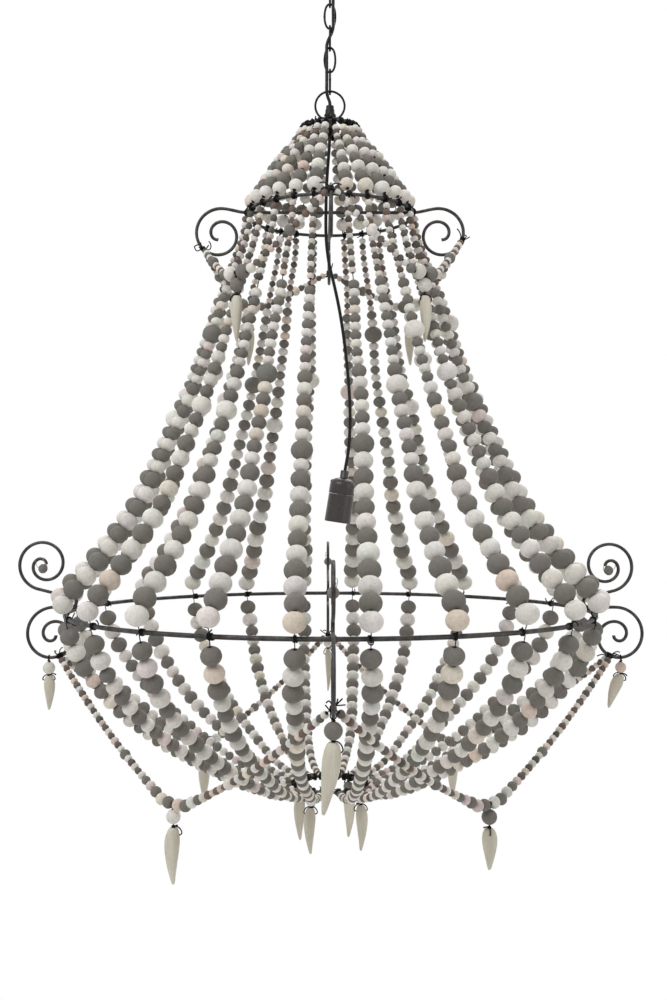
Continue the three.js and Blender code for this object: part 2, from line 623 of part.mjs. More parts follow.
// A pendant: wire eye round what carries it, bead, wire and tooth. swing is the direction the carrier runs.
function addPendant(name, kind, carrierRadius, point, swing) {
  const size = { ...TOOTH[kind], ...TOOTH_OWN[name] };
  const eyeRadius = (carrierRadius + seat + pendantWire) / Math.cos(Math.PI / PENDANT_SIDES);
  const eye = new THREE.TorusGeometry(eyeRadius, pendantWire, EYE_WIRE_SIDES, PENDANT_SIDES)
    .applyQuaternion(new THREE.Quaternion().setFromUnitVectors(new THREE.Vector3(0, 0, 1), swing));
  const eyeFoot = -eyeRadius;
  const beadTop = eyeFoot - size.stem;
  const beadFoot = beadTop - size.bead;
  const toothTop = beadFoot - size.stem;
  const bead = hungBeadShares.map(([wide, high]) => [(size.bead / 2) * wide, beadFoot + size.bead * high]);
  const hang = turned([
    [0, toothTop - pendantBite], [pendantWire, toothTop - pendantBite], [pendantWire, beadFoot], ...bead,
    [pendantWire, beadTop], [pendantWire, eyeFoot], [0, eyeFoot],
  ], PENDANT_SIDES);
  const taper = toothShares.map(([wide, low]) => [(size.width / 2) * wide, -size.length * low]);
  const tooth = turned([[0, -size.length], [toothTip, -size.length], ...taper, [0, 0]], TOOTH_SIDES)
    .rotateY(size.tilt)
    .translate(0, 0, toothTop);
  add(name, joined(eye, hang, tooth).translate(point.x, point.y, point.z), finishes.tooth);
}

function addPendants() {
  SIDES.forEach((side, index) => {
    const azimuth = index * QUARTER;
    const tie = tieOn(lowerScrollStart(side), lowerLegZ, lowerBend(side), pendantShare);
    const run = outward(azimuth).multiplyScalar(tie.run[0]).setZ(tie.run[1]);
    addPendant(`pendant_bracket_${side}`, 'bracket', bracket.rod / 2, at(azimuth, tie.u, tie.z), run);
    const halfway = azimuth + QUARTER / 2;
    [['upper', upperSwag], ['lower', lowerSwag]].forEach(([level, swag]) => {
      const point = at(halfway, middleRadius(swag), middleZ(swag));
      const across = outward(halfway + QUARTER);
      addPendant(`pendant_swag_${level}_${index + 1}`, `swag_${level}`, strand.wireRadius, point, across);
    });
    const place = azimuth + placeOn(bottomRing, ringPendantPlace);
    const onRing = at(place, bottomRing.radius, bottomZ);
    const tangent = outward(place + QUARTER);
    addPendant(`pendant_ring_${index + 1}`, 'ring', bottomRing.rod / 2, onRing, tangent);
  });
}

// A cord through points laid by hand.
function cordThrough(route) {
  const curve = new THREE.CatmullRomCurve3(route.map(([x, y, z]) => new THREE.Vector3(x, y, loopZ + z)));
  const steps = Math.ceil(curve.getLength() / flex.step);
  const section = new THREE.Shape();
  for (let i = 0; i < FLEX_SIDES; i += 1) {
    const angle = (i / FLEX_SIDES) * FULL_TURN;
    const x = flex.radius * Math.cos(angle);
    const y = flex.radius * Math.sin(angle);
    if (i === 0) section.moveTo(x, y);
    else section.lineTo(x, y);
  }
  return new THREE.ExtrudeGeometry(section, { steps, extrudePath: curve, curveSegments: 1 });
}

function addLamp() {
  const gripTop = gripFootZ + grip.height - loopZ;
  add('supply_cord', cordThrough([[0, 0, gripTop + seat], ...supplyRoute]), finishes.flex);

  // The holder hangs from the end of the cord, tilted about its mouth.
  const last = lampRoute[lampRoute.length - 1];
  const neck = new THREE.Vector3(last[0], last[1], loopZ + last[2]);
  const axis = new THREE.Vector3(Math.sin(holder.tilt), 0, Math.cos(holder.tilt));
  const entry = neck.clone().addScaledVector(axis, -holder.bite);
  const cordEnd = [entry.x, entry.y, entry.z - loopZ];
  add('lamp_cord', cordThrough([[0, 0, gripTop], ...lampRoute, cordEnd]), finishes.flex);

  const r = holder.radius;
  const capFoot = -holder.capLength;
  const shoulder = -holder.neckLength - holder.shoulderLength;
  const boreRadius = flex.radius + seat;
  const { bite } = holder;
  const inCap = r - holder.wall;
  const cap = turned([
    [boreRadius, bite - holder.neckLength], [boreRadius, bite], [holder.neckRadius, bite],
    [holder.neckRadius, bite - holder.neckLength], [r, shoulder], [r, capFoot], [inCap, capFoot],
    [inCap, shoulder - holder.wall], [boreRadius, bite - holder.neckLength],
  ].reverse(), CASE_SEGMENTS);
  const shellTop = capFoot - seat;
  const foot = -holder.length;
  const bridge = foot + holder.socketDepth;
  const shell = turned([
    [0, bridge], [holder.socketRadius, bridge], [holder.socketRadius, foot], [r - holder.wall / 2, foot],
    [r, foot + holder.wall], [r, shellTop], [inCap - holder.wall, shellTop], [0, shellTop],
  ], CASE_SEGMENTS);
  [cap, shell].forEach((body) => body.rotateY(holder.tilt).translate(entry.x, entry.y, entry.z));
  add('lampholder_cap', cap, finishes.bakelite);
  add('lampholder_shell', shell, finishes.bakelite);
}

addCeilingFitting();
addChain();
addCrown();
addRings();
addCrossbars();
addBrackets();
addStrands();
addSwags();
addPendants();
addLamp();

export default group;
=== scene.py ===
"""A chandelier of painted wooden beads on a black iron frame, dressed and lit for a photograph.

Lengths are in millimetres in the frame of the solids, with +Z up, the ceiling at 0 and the front at -Y,
unless a name says otherwise. They become metres where a mesh is made. Azimuths run from the front
towards +X.
"""
import json
import logging
import math
from dataclasses import dataclass, field
from enum import Enum
from typing import Any, Sequence

import bpy
import numpy as np
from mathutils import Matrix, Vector


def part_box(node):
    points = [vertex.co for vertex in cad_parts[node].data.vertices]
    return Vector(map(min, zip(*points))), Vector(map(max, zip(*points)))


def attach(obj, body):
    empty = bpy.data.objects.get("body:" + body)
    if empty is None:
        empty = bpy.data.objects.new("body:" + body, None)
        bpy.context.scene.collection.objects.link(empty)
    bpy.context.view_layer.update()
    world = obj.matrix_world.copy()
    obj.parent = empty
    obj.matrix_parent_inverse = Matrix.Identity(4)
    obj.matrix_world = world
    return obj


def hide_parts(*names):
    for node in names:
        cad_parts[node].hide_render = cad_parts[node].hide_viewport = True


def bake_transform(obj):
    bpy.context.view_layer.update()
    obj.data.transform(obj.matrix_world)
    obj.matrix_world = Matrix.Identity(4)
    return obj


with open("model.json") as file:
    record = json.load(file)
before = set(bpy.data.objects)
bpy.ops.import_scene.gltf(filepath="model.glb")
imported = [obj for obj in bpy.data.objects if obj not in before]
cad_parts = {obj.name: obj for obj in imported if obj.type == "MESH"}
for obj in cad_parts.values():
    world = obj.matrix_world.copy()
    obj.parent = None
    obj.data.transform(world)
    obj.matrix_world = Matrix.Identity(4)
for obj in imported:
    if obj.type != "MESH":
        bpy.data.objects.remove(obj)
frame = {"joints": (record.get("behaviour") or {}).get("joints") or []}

MM = 0.001
FULL = 2 * math.pi
QUARTER = math.pi / 2
SEED = 11
SIDES = ("front", "right", "back", "left")
UP = np.array([0.0, 0.0, 1.0])
RIGHT = np.array([1.0, 0.0, 0.0])
BACK = np.array([0.0, 1.0, 0.0])
# The radius of the black wire that ties everything on.
TIE_WIRE = 0.95
# How far the tip of a scroll rolls in past the end of its solid, and its bend radius there.
TIP_CURL = math.radians(75)
TIP_RADIUS = 9.0
log = logging.getLogger("chandelier")

Tree = bpy.types.NodeTree
Socket = bpy.types.NodeSocket
Colour = tuple[float, float, float, float]
# The vertices of a shape, and arrays of its faces.
Shape = tuple[np.ndarray, list[np.ndarray]]


# Finishes.

def linear(hex_colour: str) -> Colour:
    """Turns an sRGB colour to linear light.

    Args:
        hex_colour: six hex digits after a hash.

    Returns:
        Red, green and blue, and 1.
    """
    parts = [int(hex_colour[k:k + 2], 16) / 255 for k in (1, 3, 5)]
    light = [c / 12.92 if c <= 0.04045 else ((c + 0.055) / 1.055) ** 2.4 for c in parts]
    return (light[0], light[1], light[2], 1.0)


def node(tree: Tree, kind: str, inputs: dict | None = None, stops: Sequence[tuple[float, Colour]] = (),
         **settings: Any) -> bpy.types.Node:
    """Adds one shader node with its settings and links.

    Args:
        tree: the node tree that it goes in.
        kind: the node's type.
        inputs: a value, or a socket to link from, by the input's name or number.
        stops: the places and colours of a ramp.
        settings: the node's own settings.

    Returns:
        The node.
    """
    made = tree.nodes.new(kind)
    for key, value in settings.items():
        setattr(made, key, value)
    for key, value in (inputs or {}).items():
        if isinstance(value, Socket):
            tree.links.new(value, made.inputs[key])
        else:
            made.inputs[key].default_value = value
    for k, (place, colour) in enumerate(stops):
        spot = made.color_ramp.elements[k] if k < 2 else made.color_ramp.elements.new(place)
        spot.position, spot.color = place, colour
    return made


def grey(level: float) -> Colour:
    """Gives a neutral linear colour of one level."""
    return (level, level, level, 1.0)


def noise(tree: Tree, place: Socket, size: float, detail: float, roughness: float = 0.5) -> Socket:
    """Adds a noise of a size in the units of its coordinates."""
    return node(tree, "ShaderNodeTexNoise", {
        "Vector": place, "Scale": 1 / size, "Detail": detail, "Roughness": roughness}).outputs[0]


def mapped(tree: Tree, value: Socket, low: float, high: float, start: float | Socket = 0.0,
           end: float = 1.0) -> Socket:
    """Maps a value between low and high to one between start and end."""
    return node(tree, "ShaderNodeMapRange", {
        "Value": value, "From Min": low, "From Max": high, "To Min": start, "To Max": end}).outputs[0]


def mixed(tree: Tree, share: float | Socket, first: Colour | Socket, second: Colour | Socket,
          blend: str = "MIX") -> Socket:
    """Mixes a share of the second colour into the first."""
    return node(tree, "ShaderNodeMix", {0: share, 6: first, 7: second}, data_type="RGBA",
                blend_type=blend).outputs[2]


def sums(tree: Tree, operation: str, *values: float | Socket) -> Socket:
    """Works out one sum."""
    return node(tree, "ShaderNodeMath", dict(enumerate(values)), operation=operation).outputs[0]


def specks(tree: Tree, place: Socket, spacing: float, fade: tuple[float, float], most: float) -> Socket:
    """Scatters round specks that fade from the second distance to the first, up to a highest strength."""
    cells = node(tree, "ShaderNodeTexVoronoi", {"Vector": place, "Scale": 1 / spacing})
    return mapped(tree, cells.outputs["Distance"], *fade, end=most)


@dataclass(frozen=True)
class Finish:
    """A finish whose colour, gloss and relief all vary a little, each at its own real size.

    Args:
        name: what the material really is.
        slot: the record's slot that it goes by; not used.
        colour: its main colour.
        shade: the colour that its darker patches turn to.
        roughness: its middle roughness.
        metallic: 1 for bare metal.
        ior: the index of refraction, which a metal leaves at the default.
        patch_mm: the size of its colour patches.
        relief_mm: the depth of its relief.
        relief_size_mm: the size of its relief.
        rough_spread: how far the roughness goes up and down.
        coat: the weight of a clear coat.
        gloss: the shine straight on, where 0.5 is usual.
    """

    name: str
    slot: str
    colour: str
    shade: str
    roughness: float
    metallic: float = 0.0
    ior: float = 1.5
    patch_mm: float = 8.0
    relief_mm: float = 0.05
    relief_size_mm: float = 1.5
    rough_spread: float = 0.08
    coat: float = 0.0
    gloss: float = 0.5

    def material(self) -> bpy.types.Material:
        """Gives the Blender material of this finish, made on first use.

        Returns:
            The material.
        """
        found = bpy.data.materials.get(self.name)
        if found:
            return found
        made = bpy.data.materials.new(self.name)
        made.use_nodes = True
        tree = made.node_tree
        tree.nodes.clear()
        shader = node(tree, "ShaderNodeBsdfPrincipled", {
            "Metallic": self.metallic, "IOR": self.ior, "Specular IOR Level": self.gloss,
            "Coat Weight": self.coat})
        self.dress(tree, shader)
        node(tree, "ShaderNodeOutputMaterial", {"Surface": shader.outputs[0]})
        made.diffuse_color = linear(self.colour)
        return made

    def dress(self, tree: Tree, shader: bpy.types.Node) -> None:
        """Links colour, roughness and relief to the shader.

        Args:
            tree: the material's node tree.
            shader: its Principled shader.
        """
        place = node(tree, "ShaderNodeTexCoord").outputs["Object"]
        patch = noise(tree, place, self.patch_mm * MM, 4.0, 0.6)
        tint = mixed(tree, mapped(tree, patch, 0.35, 0.7), linear(self.colour), linear(self.shade))
        tree.links.new(tint, shader.inputs["Base Color"])
        self.surface(tree, shader, patch, noise(tree, place, self.relief_size_mm * MM, 3.0))

    def surface(self, tree: Tree, shader: bpy.types.Node, patch: Socket, height: Socket) -> None:
        """Links roughness and a fine bump.

        Args:
            tree: the material's node tree.
            shader: its Principled shader.
            patch: the noise that the roughness follows.
            height: the height of the relief, as a share of its depth.
        """
        rough = mapped(tree, patch, 0.3, 0.7, self.roughness - self.rough_spread,
                       self.roughness + self.rough_spread)
        bump = node(tree, "ShaderNodeBump", {
            "Height": height, "Distance": self.relief_mm * MM, "Strength": 1.0})
        tree.links.new(rough, shader.inputs["Roughness"])
        tree.links.new(bump.outputs[0], shader.inputs["Normal"])


@dataclass(frozen=True)
class PaintedWood(Finish):
    """Turned wooden beads under chalk paint, each in its own colour.

    Args:
        brush_mm: the size of the paint's thicker and thinner patches.
        grain_mm: the spacing of the wood grain that shows through.
        groove_mm: the spacing of the turning grooves.
        speck_mm: the spacing of dark specks.
        chip_mm: how far the paint is chipped from a hole's edge.
        bare: the colour of the bare wood at the hole.
        stain: the colour of the odd reddish stain.
    """

    brush_mm: float = 5.0
    grain_mm: float = 1.1
    groove_mm: float = 1.6
    speck_mm: float = 6.0
    chip_mm: float = 1.3
    bare: str = "#4a3a30"
    stain: str = "#b48672"

    def dress(self, tree: Tree, shader: bpy.types.Node) -> None:
        """Links the beads' own colours, their grain, specks, chipped holes and turning grooves.

        Args:
            tree: the material's node tree.
            shader: its Principled shader.
        """
        paint = node(tree, "ShaderNodeAttribute", attribute_name="paint").outputs["Color"]
        place = node(tree, "ShaderNodeAttribute", attribute_name="place").outputs["Vector"]
        rim = node(tree, "ShaderNodeAttribute", attribute_name="rim").outputs["Fac"]
        bare = linear(self.bare)
        brushed = noise(tree, place, self.brush_mm, 5.0, 0.65)
        thin = node(tree, "ShaderNodeValToRGB", {"Fac": brushed},
                    stops=((0.3, grey(0.84)), (0.72, grey(1.06))))
        coat = mixed(tree, 1.0, paint, thin.outputs[0], "MULTIPLY")
        # The fibres run along the hole, so the grain is long that way and narrow across.
        long_way = node(tree, "ShaderNodeMapping", {"Vector": place, "Scale": (1.0, 1.0, 0.12)})
        grain = noise(tree, long_way.outputs[0], self.grain_mm, 3.0)
        grained = mixed(tree, mapped(tree, grain, 0.56, 0.72, end=0.2), coat, bare)
        specked = mixed(tree, specks(tree, place, self.speck_mm, (0.1, 0.05), 0.75), grained, bare)
        blotch = noise(tree, place, 2.2 * self.speck_mm, 2.0)
        stained = mixed(tree, mapped(tree, blotch, 0.7, 0.82, end=0.45), specked, linear(self.stain))
        near = sums(tree, "SUBTRACT", sums(tree, "MULTIPLY", brushed, self.chip_mm * 1.6), rim)
        chipped = mapped(tree, near, -0.25, 0.25)
        tree.links.new(mixed(tree, chipped, stained, bare), shader.inputs["Base Color"])
        # A wave's bands repeat each 0.314 / scale.
        grooves = node(tree, "ShaderNodeTexWave", {
            "Vector": place, "Scale": 0.314 / self.groove_mm, "Distortion": 1.2, "Detail": 1.0},
            wave_type="BANDS", bands_direction="Z")
        chalk = noise(tree, place, self.relief_size_mm, 4.0)
        height = sums(tree, "MULTIPLY_ADD", grooves.outputs["Fac"], 0.35, chalk)
        self.surface(tree, shader, brushed, sums(tree, "SUBTRACT", height, chipped))


@dataclass(frozen=True)
class CarvedBone(Finish):
    """Teeth carved from bone and rubbed smooth, with fibres along them.

    Args:
        fibre_mm: the spacing of the fibres.
        pore_mm: the spacing of the small dark pores.
        pore: their colour.
    """

    fibre_mm: float = 1.4
    pore_mm: float = 5.0
    pore: str = "#8a7460"

    def dress(self, tree: Tree, shader: bpy.types.Node) -> None:
        """Links a colour that runs along the fibres, with pores, and a relief of shallow cuts.

        Args:
            tree: the material's node tree.
            shader: its Principled shader.
        """
        place = node(tree, "ShaderNodeTexCoord").outputs["Object"]
        along = node(tree, "ShaderNodeMapping", {"Vector": place, "Scale": (1.0, 1.0, 0.1)}).outputs[0]
        fibre = noise(tree, along, self.fibre_mm * MM, 4.0)
        patch = noise(tree, along, self.patch_mm * MM, 3.0)
        tone = mapped(tree, sums(tree, "MULTIPLY_ADD", fibre, 0.5, patch), 0.55, 1.0)
        tint = mixed(tree, tone, linear(self.colour), linear(self.shade))
        pores = specks(tree, place, self.pore_mm * MM, (0.11, 0.06), 0.7)
        tree.links.new(mixed(tree, pores, tint, linear(self.pore)), shader.inputs["Base Color"])
        # A little light passes under the surface of bone.
        shader.inputs["Subsurface Weight"].default_value = 0.08
        shader.inputs["Subsurface Scale"].default_value = 2 * MM
        self.surface(tree, shader, patch, noise(tree, along, self.relief_size_mm * MM, 3.0))


# Chalk paint hides the wood: dull, a little uneven, and chipped dark at the holes.
PAINTED_WOOD = PaintedWood("chalk_painted_turned_wood", "painted_bead", "#d9d5d0", "#b9b5b0",
                           roughness=0.86, relief_mm=0.12, relief_size_mm=0.9, rough_spread=0.06)
# Bone is pale and waxy with a soft gloss, greyer in its hollows.
BONE = CarvedBone("carved_rubbed_bone", "tooth", "#d8d3c3", "#bdb6a4", roughness=0.52, ior=1.54,
                  patch_mm=14, relief_mm=0.12, relief_size_mm=2.2, rough_spread=0.1)
# Forged rod keeps a thin black scale: dark grey with browner patches, and a broken sheen on its top side.
SCALED_IRON = Finish("forged_black_scale_iron", "frame_iron", "#4b4948", "#2f2b29", roughness=0.5,
                     metallic=0.6, patch_mm=11, relief_mm=0.14, relief_size_mm=2.4, rough_spread=0.12)
# Annealed wire is bent hot-soft and black: almost no colour, with a thin satin line of light.
ANNEALED_WIRE = Finish("black_annealed_iron_wire", "chain_steel", "#1a1918", "#131212", roughness=0.5,
                       metallic=0.8, patch_mm=5, relief_mm=0.03, relief_size_mm=0.9)
# Burnt black chain: blued and oiled steel, darker than the frame, a little glossier on its bends.
BLACK_CHAIN = Finish("oil_blacked_welded_steel", "chain_steel", "#262423", "#191817", roughness=0.42,
                     metallic=0.9, patch_mm=6, relief_size_mm=1.3, rough_spread=0.12)
# Weld beads are rippled and burnt, greyer than the rods that they join.
WELD = Finish("burnt_iron_weld", "frame_iron", "#565150", "#2d2724", roughness=0.58, metallic=0.85,
              patch_mm=3, relief_mm=0.25, relief_size_mm=1.6)
# Tinned wire is soft and silvery.
TINNED_WIRE = Finish("tinned_soft_wire", "plate_steel", "#b5b2ad", "#8f8b86", roughness=0.35,
                     metallic=1.0, patch_mm=4, relief_mm=0.02, relief_size_mm=0.8)
# Moulded bakelite is hard, brown-black, with a resin gloss that handling has dulled.
BAKELITE = Finish("moulded_bakelite", "bakelite", "#2d2622", "#211c19", roughness=0.33, ior=1.62,
                  patch_mm=9, relief_mm=0.02, relief_size_mm=2.5)
# The grip that holds the flex is black nylon: darker than the lampholder and duller.
NYLON = Finish("moulded_black_nylon", "bakelite", "#131212", "#0e0d0d", roughness=0.5, ior=1.53,
               patch_mm=6, relief_mm=0.03, relief_size_mm=1.2, rough_spread=0.06, gloss=0.25)
# Flexible cord has a smooth extruded sheath with a faint gloss.
SHEATH = Finish("extruded_pvc_sheath", "flex", "#141313", "#0f0e0e", roughness=0.45, ior=1.53,
                patch_mm=20, relief_mm=0.02, relief_size_mm=3.0, gloss=0.25)
# Canopy paint is baked powder: satin black with a fine orange peel.
POWDER_COAT = Finish("baked_powder_coat_steel", "canopy_paint", "#2b2a29", "#242322", roughness=0.45,
                     patch_mm=30, relief_size_mm=1.4, rough_spread=0.05, coat=0.15)
# Zinc plate is cool grey with small spangles.
ZINC = Finish("zinc_plated_pressed_steel", "plate_steel", "#a2a19d", "#84837f", roughness=0.38,
              metallic=1.0, patch_mm=7, relief_mm=0.02)
# Pressed brass thread inside the lampholder, dull where air has reached it.
BRASS = Finish("pressed_brass", "plate_steel", "#b08d4f", "#86683a", roughness=0.34, metallic=1.0,
               patch_mm=4, relief_mm=0.02, relief_size_mm=1.0)
# The socket's insulator is glazed white ceramic.
CERAMIC = Finish("glazed_steatite", "bakelite", "#e4e0d8", "#d4cfc5", roughness=0.22, ior=1.52,
                 patch_mm=6, relief_mm=0.02, relief_size_mm=2.0)


class BeadPaint(Enum):
    """The paints of the beads. Grey and white alternate, and the others now and then stand in for white."""

    GREY = "#7d7973"
    BROWN_GREY = "#726a62"
    UMBER = "#686059"
    RUSSET = "#74635a"
    MOSS = "#5c5c54"
    WHITE = "#ebe7e0"
    CREAM = "#e8dfd1"
    PEACH = "#e3d2c3"
    PINK = "#e2d4cf"


DARKS = (BeadPaint.GREY, BeadPaint.BROWN_GREY, BeadPaint.UMBER, BeadPaint.RUSSET, BeadPaint.MOSS)


# Shapes made by numbers.

def unit(v: np.ndarray) -> np.ndarray:
    """Scales vectors to length 1 along the last axis."""
    return v / np.maximum(np.linalg.norm(v, axis=-1, keepdims=True), 1e-12)


def outward(azimuth: float) -> np.ndarray:
    """Gives the plan direction of an azimuth."""
    return np.array([math.sin(azimuth), -math.cos(azimuth), 0.0])


def at(azimuth: float, radius: float, z: float) -> np.ndarray:
    """Gives the point at a radius and a height on an azimuth."""
    return outward(azimuth) * radius + np.array([0.0, 0.0, z])


def round_angles(count: int) -> np.ndarray:
    """Gives the angles of a full turn in equal steps."""
    return np.arange(count) / count * FULL


def smooth(points: Sequence[Sequence[float]], step: float) -> np.ndarray:
    """Runs a smooth line through points.

    Args:
        points: the points, in order.
        step: the distance between the points given back.

    Returns:
        Points along the line, as rows.
    """
    p = np.asarray(points, float)
    if len(p) < 3:
        count = max(2, int(np.linalg.norm(p[-1] - p[0]) / step) + 1)
        return p[0] + (p[-1] - p[0]) * np.linspace(0, 1, count)[:, None]
    chord = np.maximum(np.linalg.norm(np.diff(p, axis=0), axis=1), 1e-6)
    slope = np.diff(p, axis=0) / chord[:, None]
    inner = (slope[:-1] * chord[1:, None] + slope[1:] * chord[:-1, None]) / (chord[:-1] + chord[1:])[:, None]
    ends = [2 * slope[0] - inner[0], 2 * slope[-1] - inner[-1]]
    tangent = np.vstack([ends[0], inner, ends[1]])
    parts = []
    for k, length in enumerate(chord):
        t = np.linspace(0, 1, max(2, int(length / step) + 1), endpoint=False)[:, None]
        parts.append((2 * t ** 3 - 3 * t ** 2 + 1) * p[k] + (t ** 3 - 2 * t ** 2 + t) * length * tangent[k]
                     + (3 * t ** 2 - 2 * t ** 3) * p[k + 1] + (t ** 3 - t ** 2) * length * tangent[k + 1])
    return np.vstack([*parts, p[-1:]])


class Line:
    """A line through points, measured along its length."""

    def __init__(self, points: Sequence[Sequence[float]], step: float = 2.0) -> None:
        """Lays the line.

        Args:
            points: the points that it goes through.
            step: how far apart its own points are.
        """
        self.points = smooth(points, step)
        lengths = np.linalg.norm(np.diff(self.points, axis=0), axis=1)
        self.run = np.concatenate([[0.0], np.cumsum(lengths)])
        self.length = float(self.run[-1])

    def at(self, s: float) -> np.ndarray:
        """Gives the point at a distance along the line."""
        return np.array([np.interp(s, self.run, self.points[:, k]) for k in range(3)])

    def heading(self, s: float) -> np.ndarray:
        """Gives the direction that the line runs in at a distance along it."""
        return unit(self.at(min(s + 1, self.length)) - self.at(max(s - 1, 0)))

    def nearest(self, z: float) -> float:
        """Gives the distance along a falling line where it reaches a height."""
        return float(np.interp(-z, -self.points[:, 2], self.run))

    def part(self, start: float, end: float, step: float) -> np.ndarray:
        """Gives points of a stretch of the line, a step apart."""
        count = max(2, int(abs(end - start) / step) + 1)
        return np.array([self.at(s) for s in np.linspace(start, end, count)])


def skin(rings: int, sides: int, closed: bool = False, inward: bool = False) -> list[np.ndarray]:
    """Joins rings of points with faces.

    Args:
        rings: how many rings there are.
        sides: how many points each has.
        closed: whether the last ring joins the first, or else both are capped.
        inward: whether the points of a ring run the other way round.

    Returns:
        Arrays of faces.
    """
    here = np.arange(rings if closed else rings - 1)[:, None] * sides
    there, cols = (here + sides) % (rings * sides), np.arange(sides)[None]
    turn = (cols + 1) % sides
    walls = np.stack([here + cols, here + turn, there + turn, there + cols], -1).reshape(-1, 4)
    caps = [] if closed else [cols[:, ::-1], cols + (rings - 1) * sides]
    if inward:
        return [walls[:, [0, 3, 2, 1]], *[cap[:, ::-1] for cap in caps]]
    return [walls, *caps]


def sweep(points: np.ndarray, radius: float | np.ndarray, sides: int, closed: bool = False,
          normal: np.ndarray | None = None) -> Shape:
    """Draws a round section along a line, with chamfered ends.

    Args:
        points: the line, as rows.
        radius: the section's radius, or one for each point.
        sides: how many sides the section has.
        closed: whether the line runs back into its start.
        normal: the direction that the section's first corner starts from.

    Returns:
        The shape.
    """
    points = np.asarray(points, float)
    radii = np.broadcast_to(np.asarray(radius, float), (len(points),)).copy()
    if closed:
        tangent = unit(np.roll(points, -1, 0) - np.roll(points, 1, 0))
    else:
        first, last = unit(points[1] - points[0]), unit(points[-1] - points[-2])
        cut = 0.25 * radii[[0, -1]]
        points = np.vstack([points[0], points[0] + first * cut[0], points[1:-1],
                            points[-1] - last * cut[1], points[-1]])
        radii = np.concatenate([[radii[0] * 0.8], radii[:1], radii[1:-1], radii[-1:], [radii[-1] * 0.8]])
        tangent = unit(np.gradient(points, axis=0))
    side = tangent[0][[2, 0, 1]] if normal is None else np.asarray(normal)
    normals = np.empty_like(points)
    for k, t in enumerate(tangent):
        side = side - t * side.dot(t)
        side = side / np.linalg.norm(side)
        normals[k] = side
    binormals = np.cross(tangent, normals)
    angle = round_angles(sides)
    ring = (np.cos(angle)[None, :, None] * normals[:, None]
            + np.sin(angle)[None, :, None] * binormals[:, None])
    vertices = points[:, None] + radii[:, None, None] * ring
    return vertices.reshape(-1, 3), skin(len(points), sides, closed)


def lathe(profile: Sequence[tuple[float, float]], segments: int, closed: bool = False) -> Shape:
    """Turns a profile about Z.

    Args:
        profile: pairs of radius and height, listed from the top down on the outside.
        segments: how many steps the turn has.
        closed: whether the profile runs back to its start, as that of a body with a bore.

    Returns:
        The shape.
    """
    p = np.asarray(profile, float)
    angle = round_angles(segments)
    ring = np.stack([np.cos(angle), np.sin(angle)], -1)
    heights = np.broadcast_to(p[:, None, 1:], (len(p), segments, 1))
    vertices = np.concatenate([p[:, None, :1] * ring[None], heights], -1)
    return vertices.reshape(-1, 3), skin(len(p), segments, closed, inward=True)


def placed(shape: Shape, centre: np.ndarray, axes: np.ndarray | None = None) -> Shape:
    """Turns a shape to its axes, the columns of a matrix, and moves it."""
    points, faces = shape
    return (points if axes is None else points @ axes.T) + centre, faces


def frame_of(heading: np.ndarray, spin: float = 0.0) -> np.ndarray:
    """Gives a rotation whose Z is a heading.

    Args:
        heading: a unit vector.
        spin: the turn about it.

    Returns:
        A 3 by 3 matrix whose columns are the axes.
    """
    across = np.cross(heading, UP if abs(heading[2]) < 0.95 else BACK)
    across = across / np.linalg.norm(across)
    second = np.cross(heading, across)
    x = across * math.cos(spin) + second * math.sin(spin)
    return np.stack([x, np.cross(heading, x), heading], -1)


def coil(centre: np.ndarray, along: np.ndarray, out: np.ndarray, radius: float, pitch: float,
         start: float, turns: float) -> np.ndarray:
    """Winds a wire round a rod.

    Args:
        centre: the middle of the winding on the rod's axis.
        along: the direction of the rod.
        out: the direction that angles are counted from.
        radius: the radius of the wire's middle line.
        pitch: how far the wire moves along the rod in a turn.
        start: the angle of its start.
        turns: how many turns it makes.

    Returns:
        Points of the wire, as rows.
    """
    side = np.cross(along, out)
    angle = start + np.linspace(0, turns * FULL, int(turns * 12) + 2)
    shift = pitch * (np.linspace(0, turns, len(angle)) - turns / 2)
    return (centre + along * shift[:, None]
            + radius * (out * np.cos(angle)[:, None] + side * np.sin(angle)[:, None]))


def tail(start: np.ndarray, way: np.ndarray, length: float, rng: np.random.Generator) -> np.ndarray:
    """Lays a loose wire end.

    Args:
        start: where it leaves its winding.
        way: the direction that it leaves in.
        length: its length.
        rng: the source of its bend.

    Returns:
        Points of the wire, as rows.
    """
    bend = rng.normal(0, 0.28, 3)
    return smooth([start, start + way * length * 0.4, start + unit(way + bend) * length * 0.75,
                   start + unit(way + 1.9 * bend) * length], 1.2)


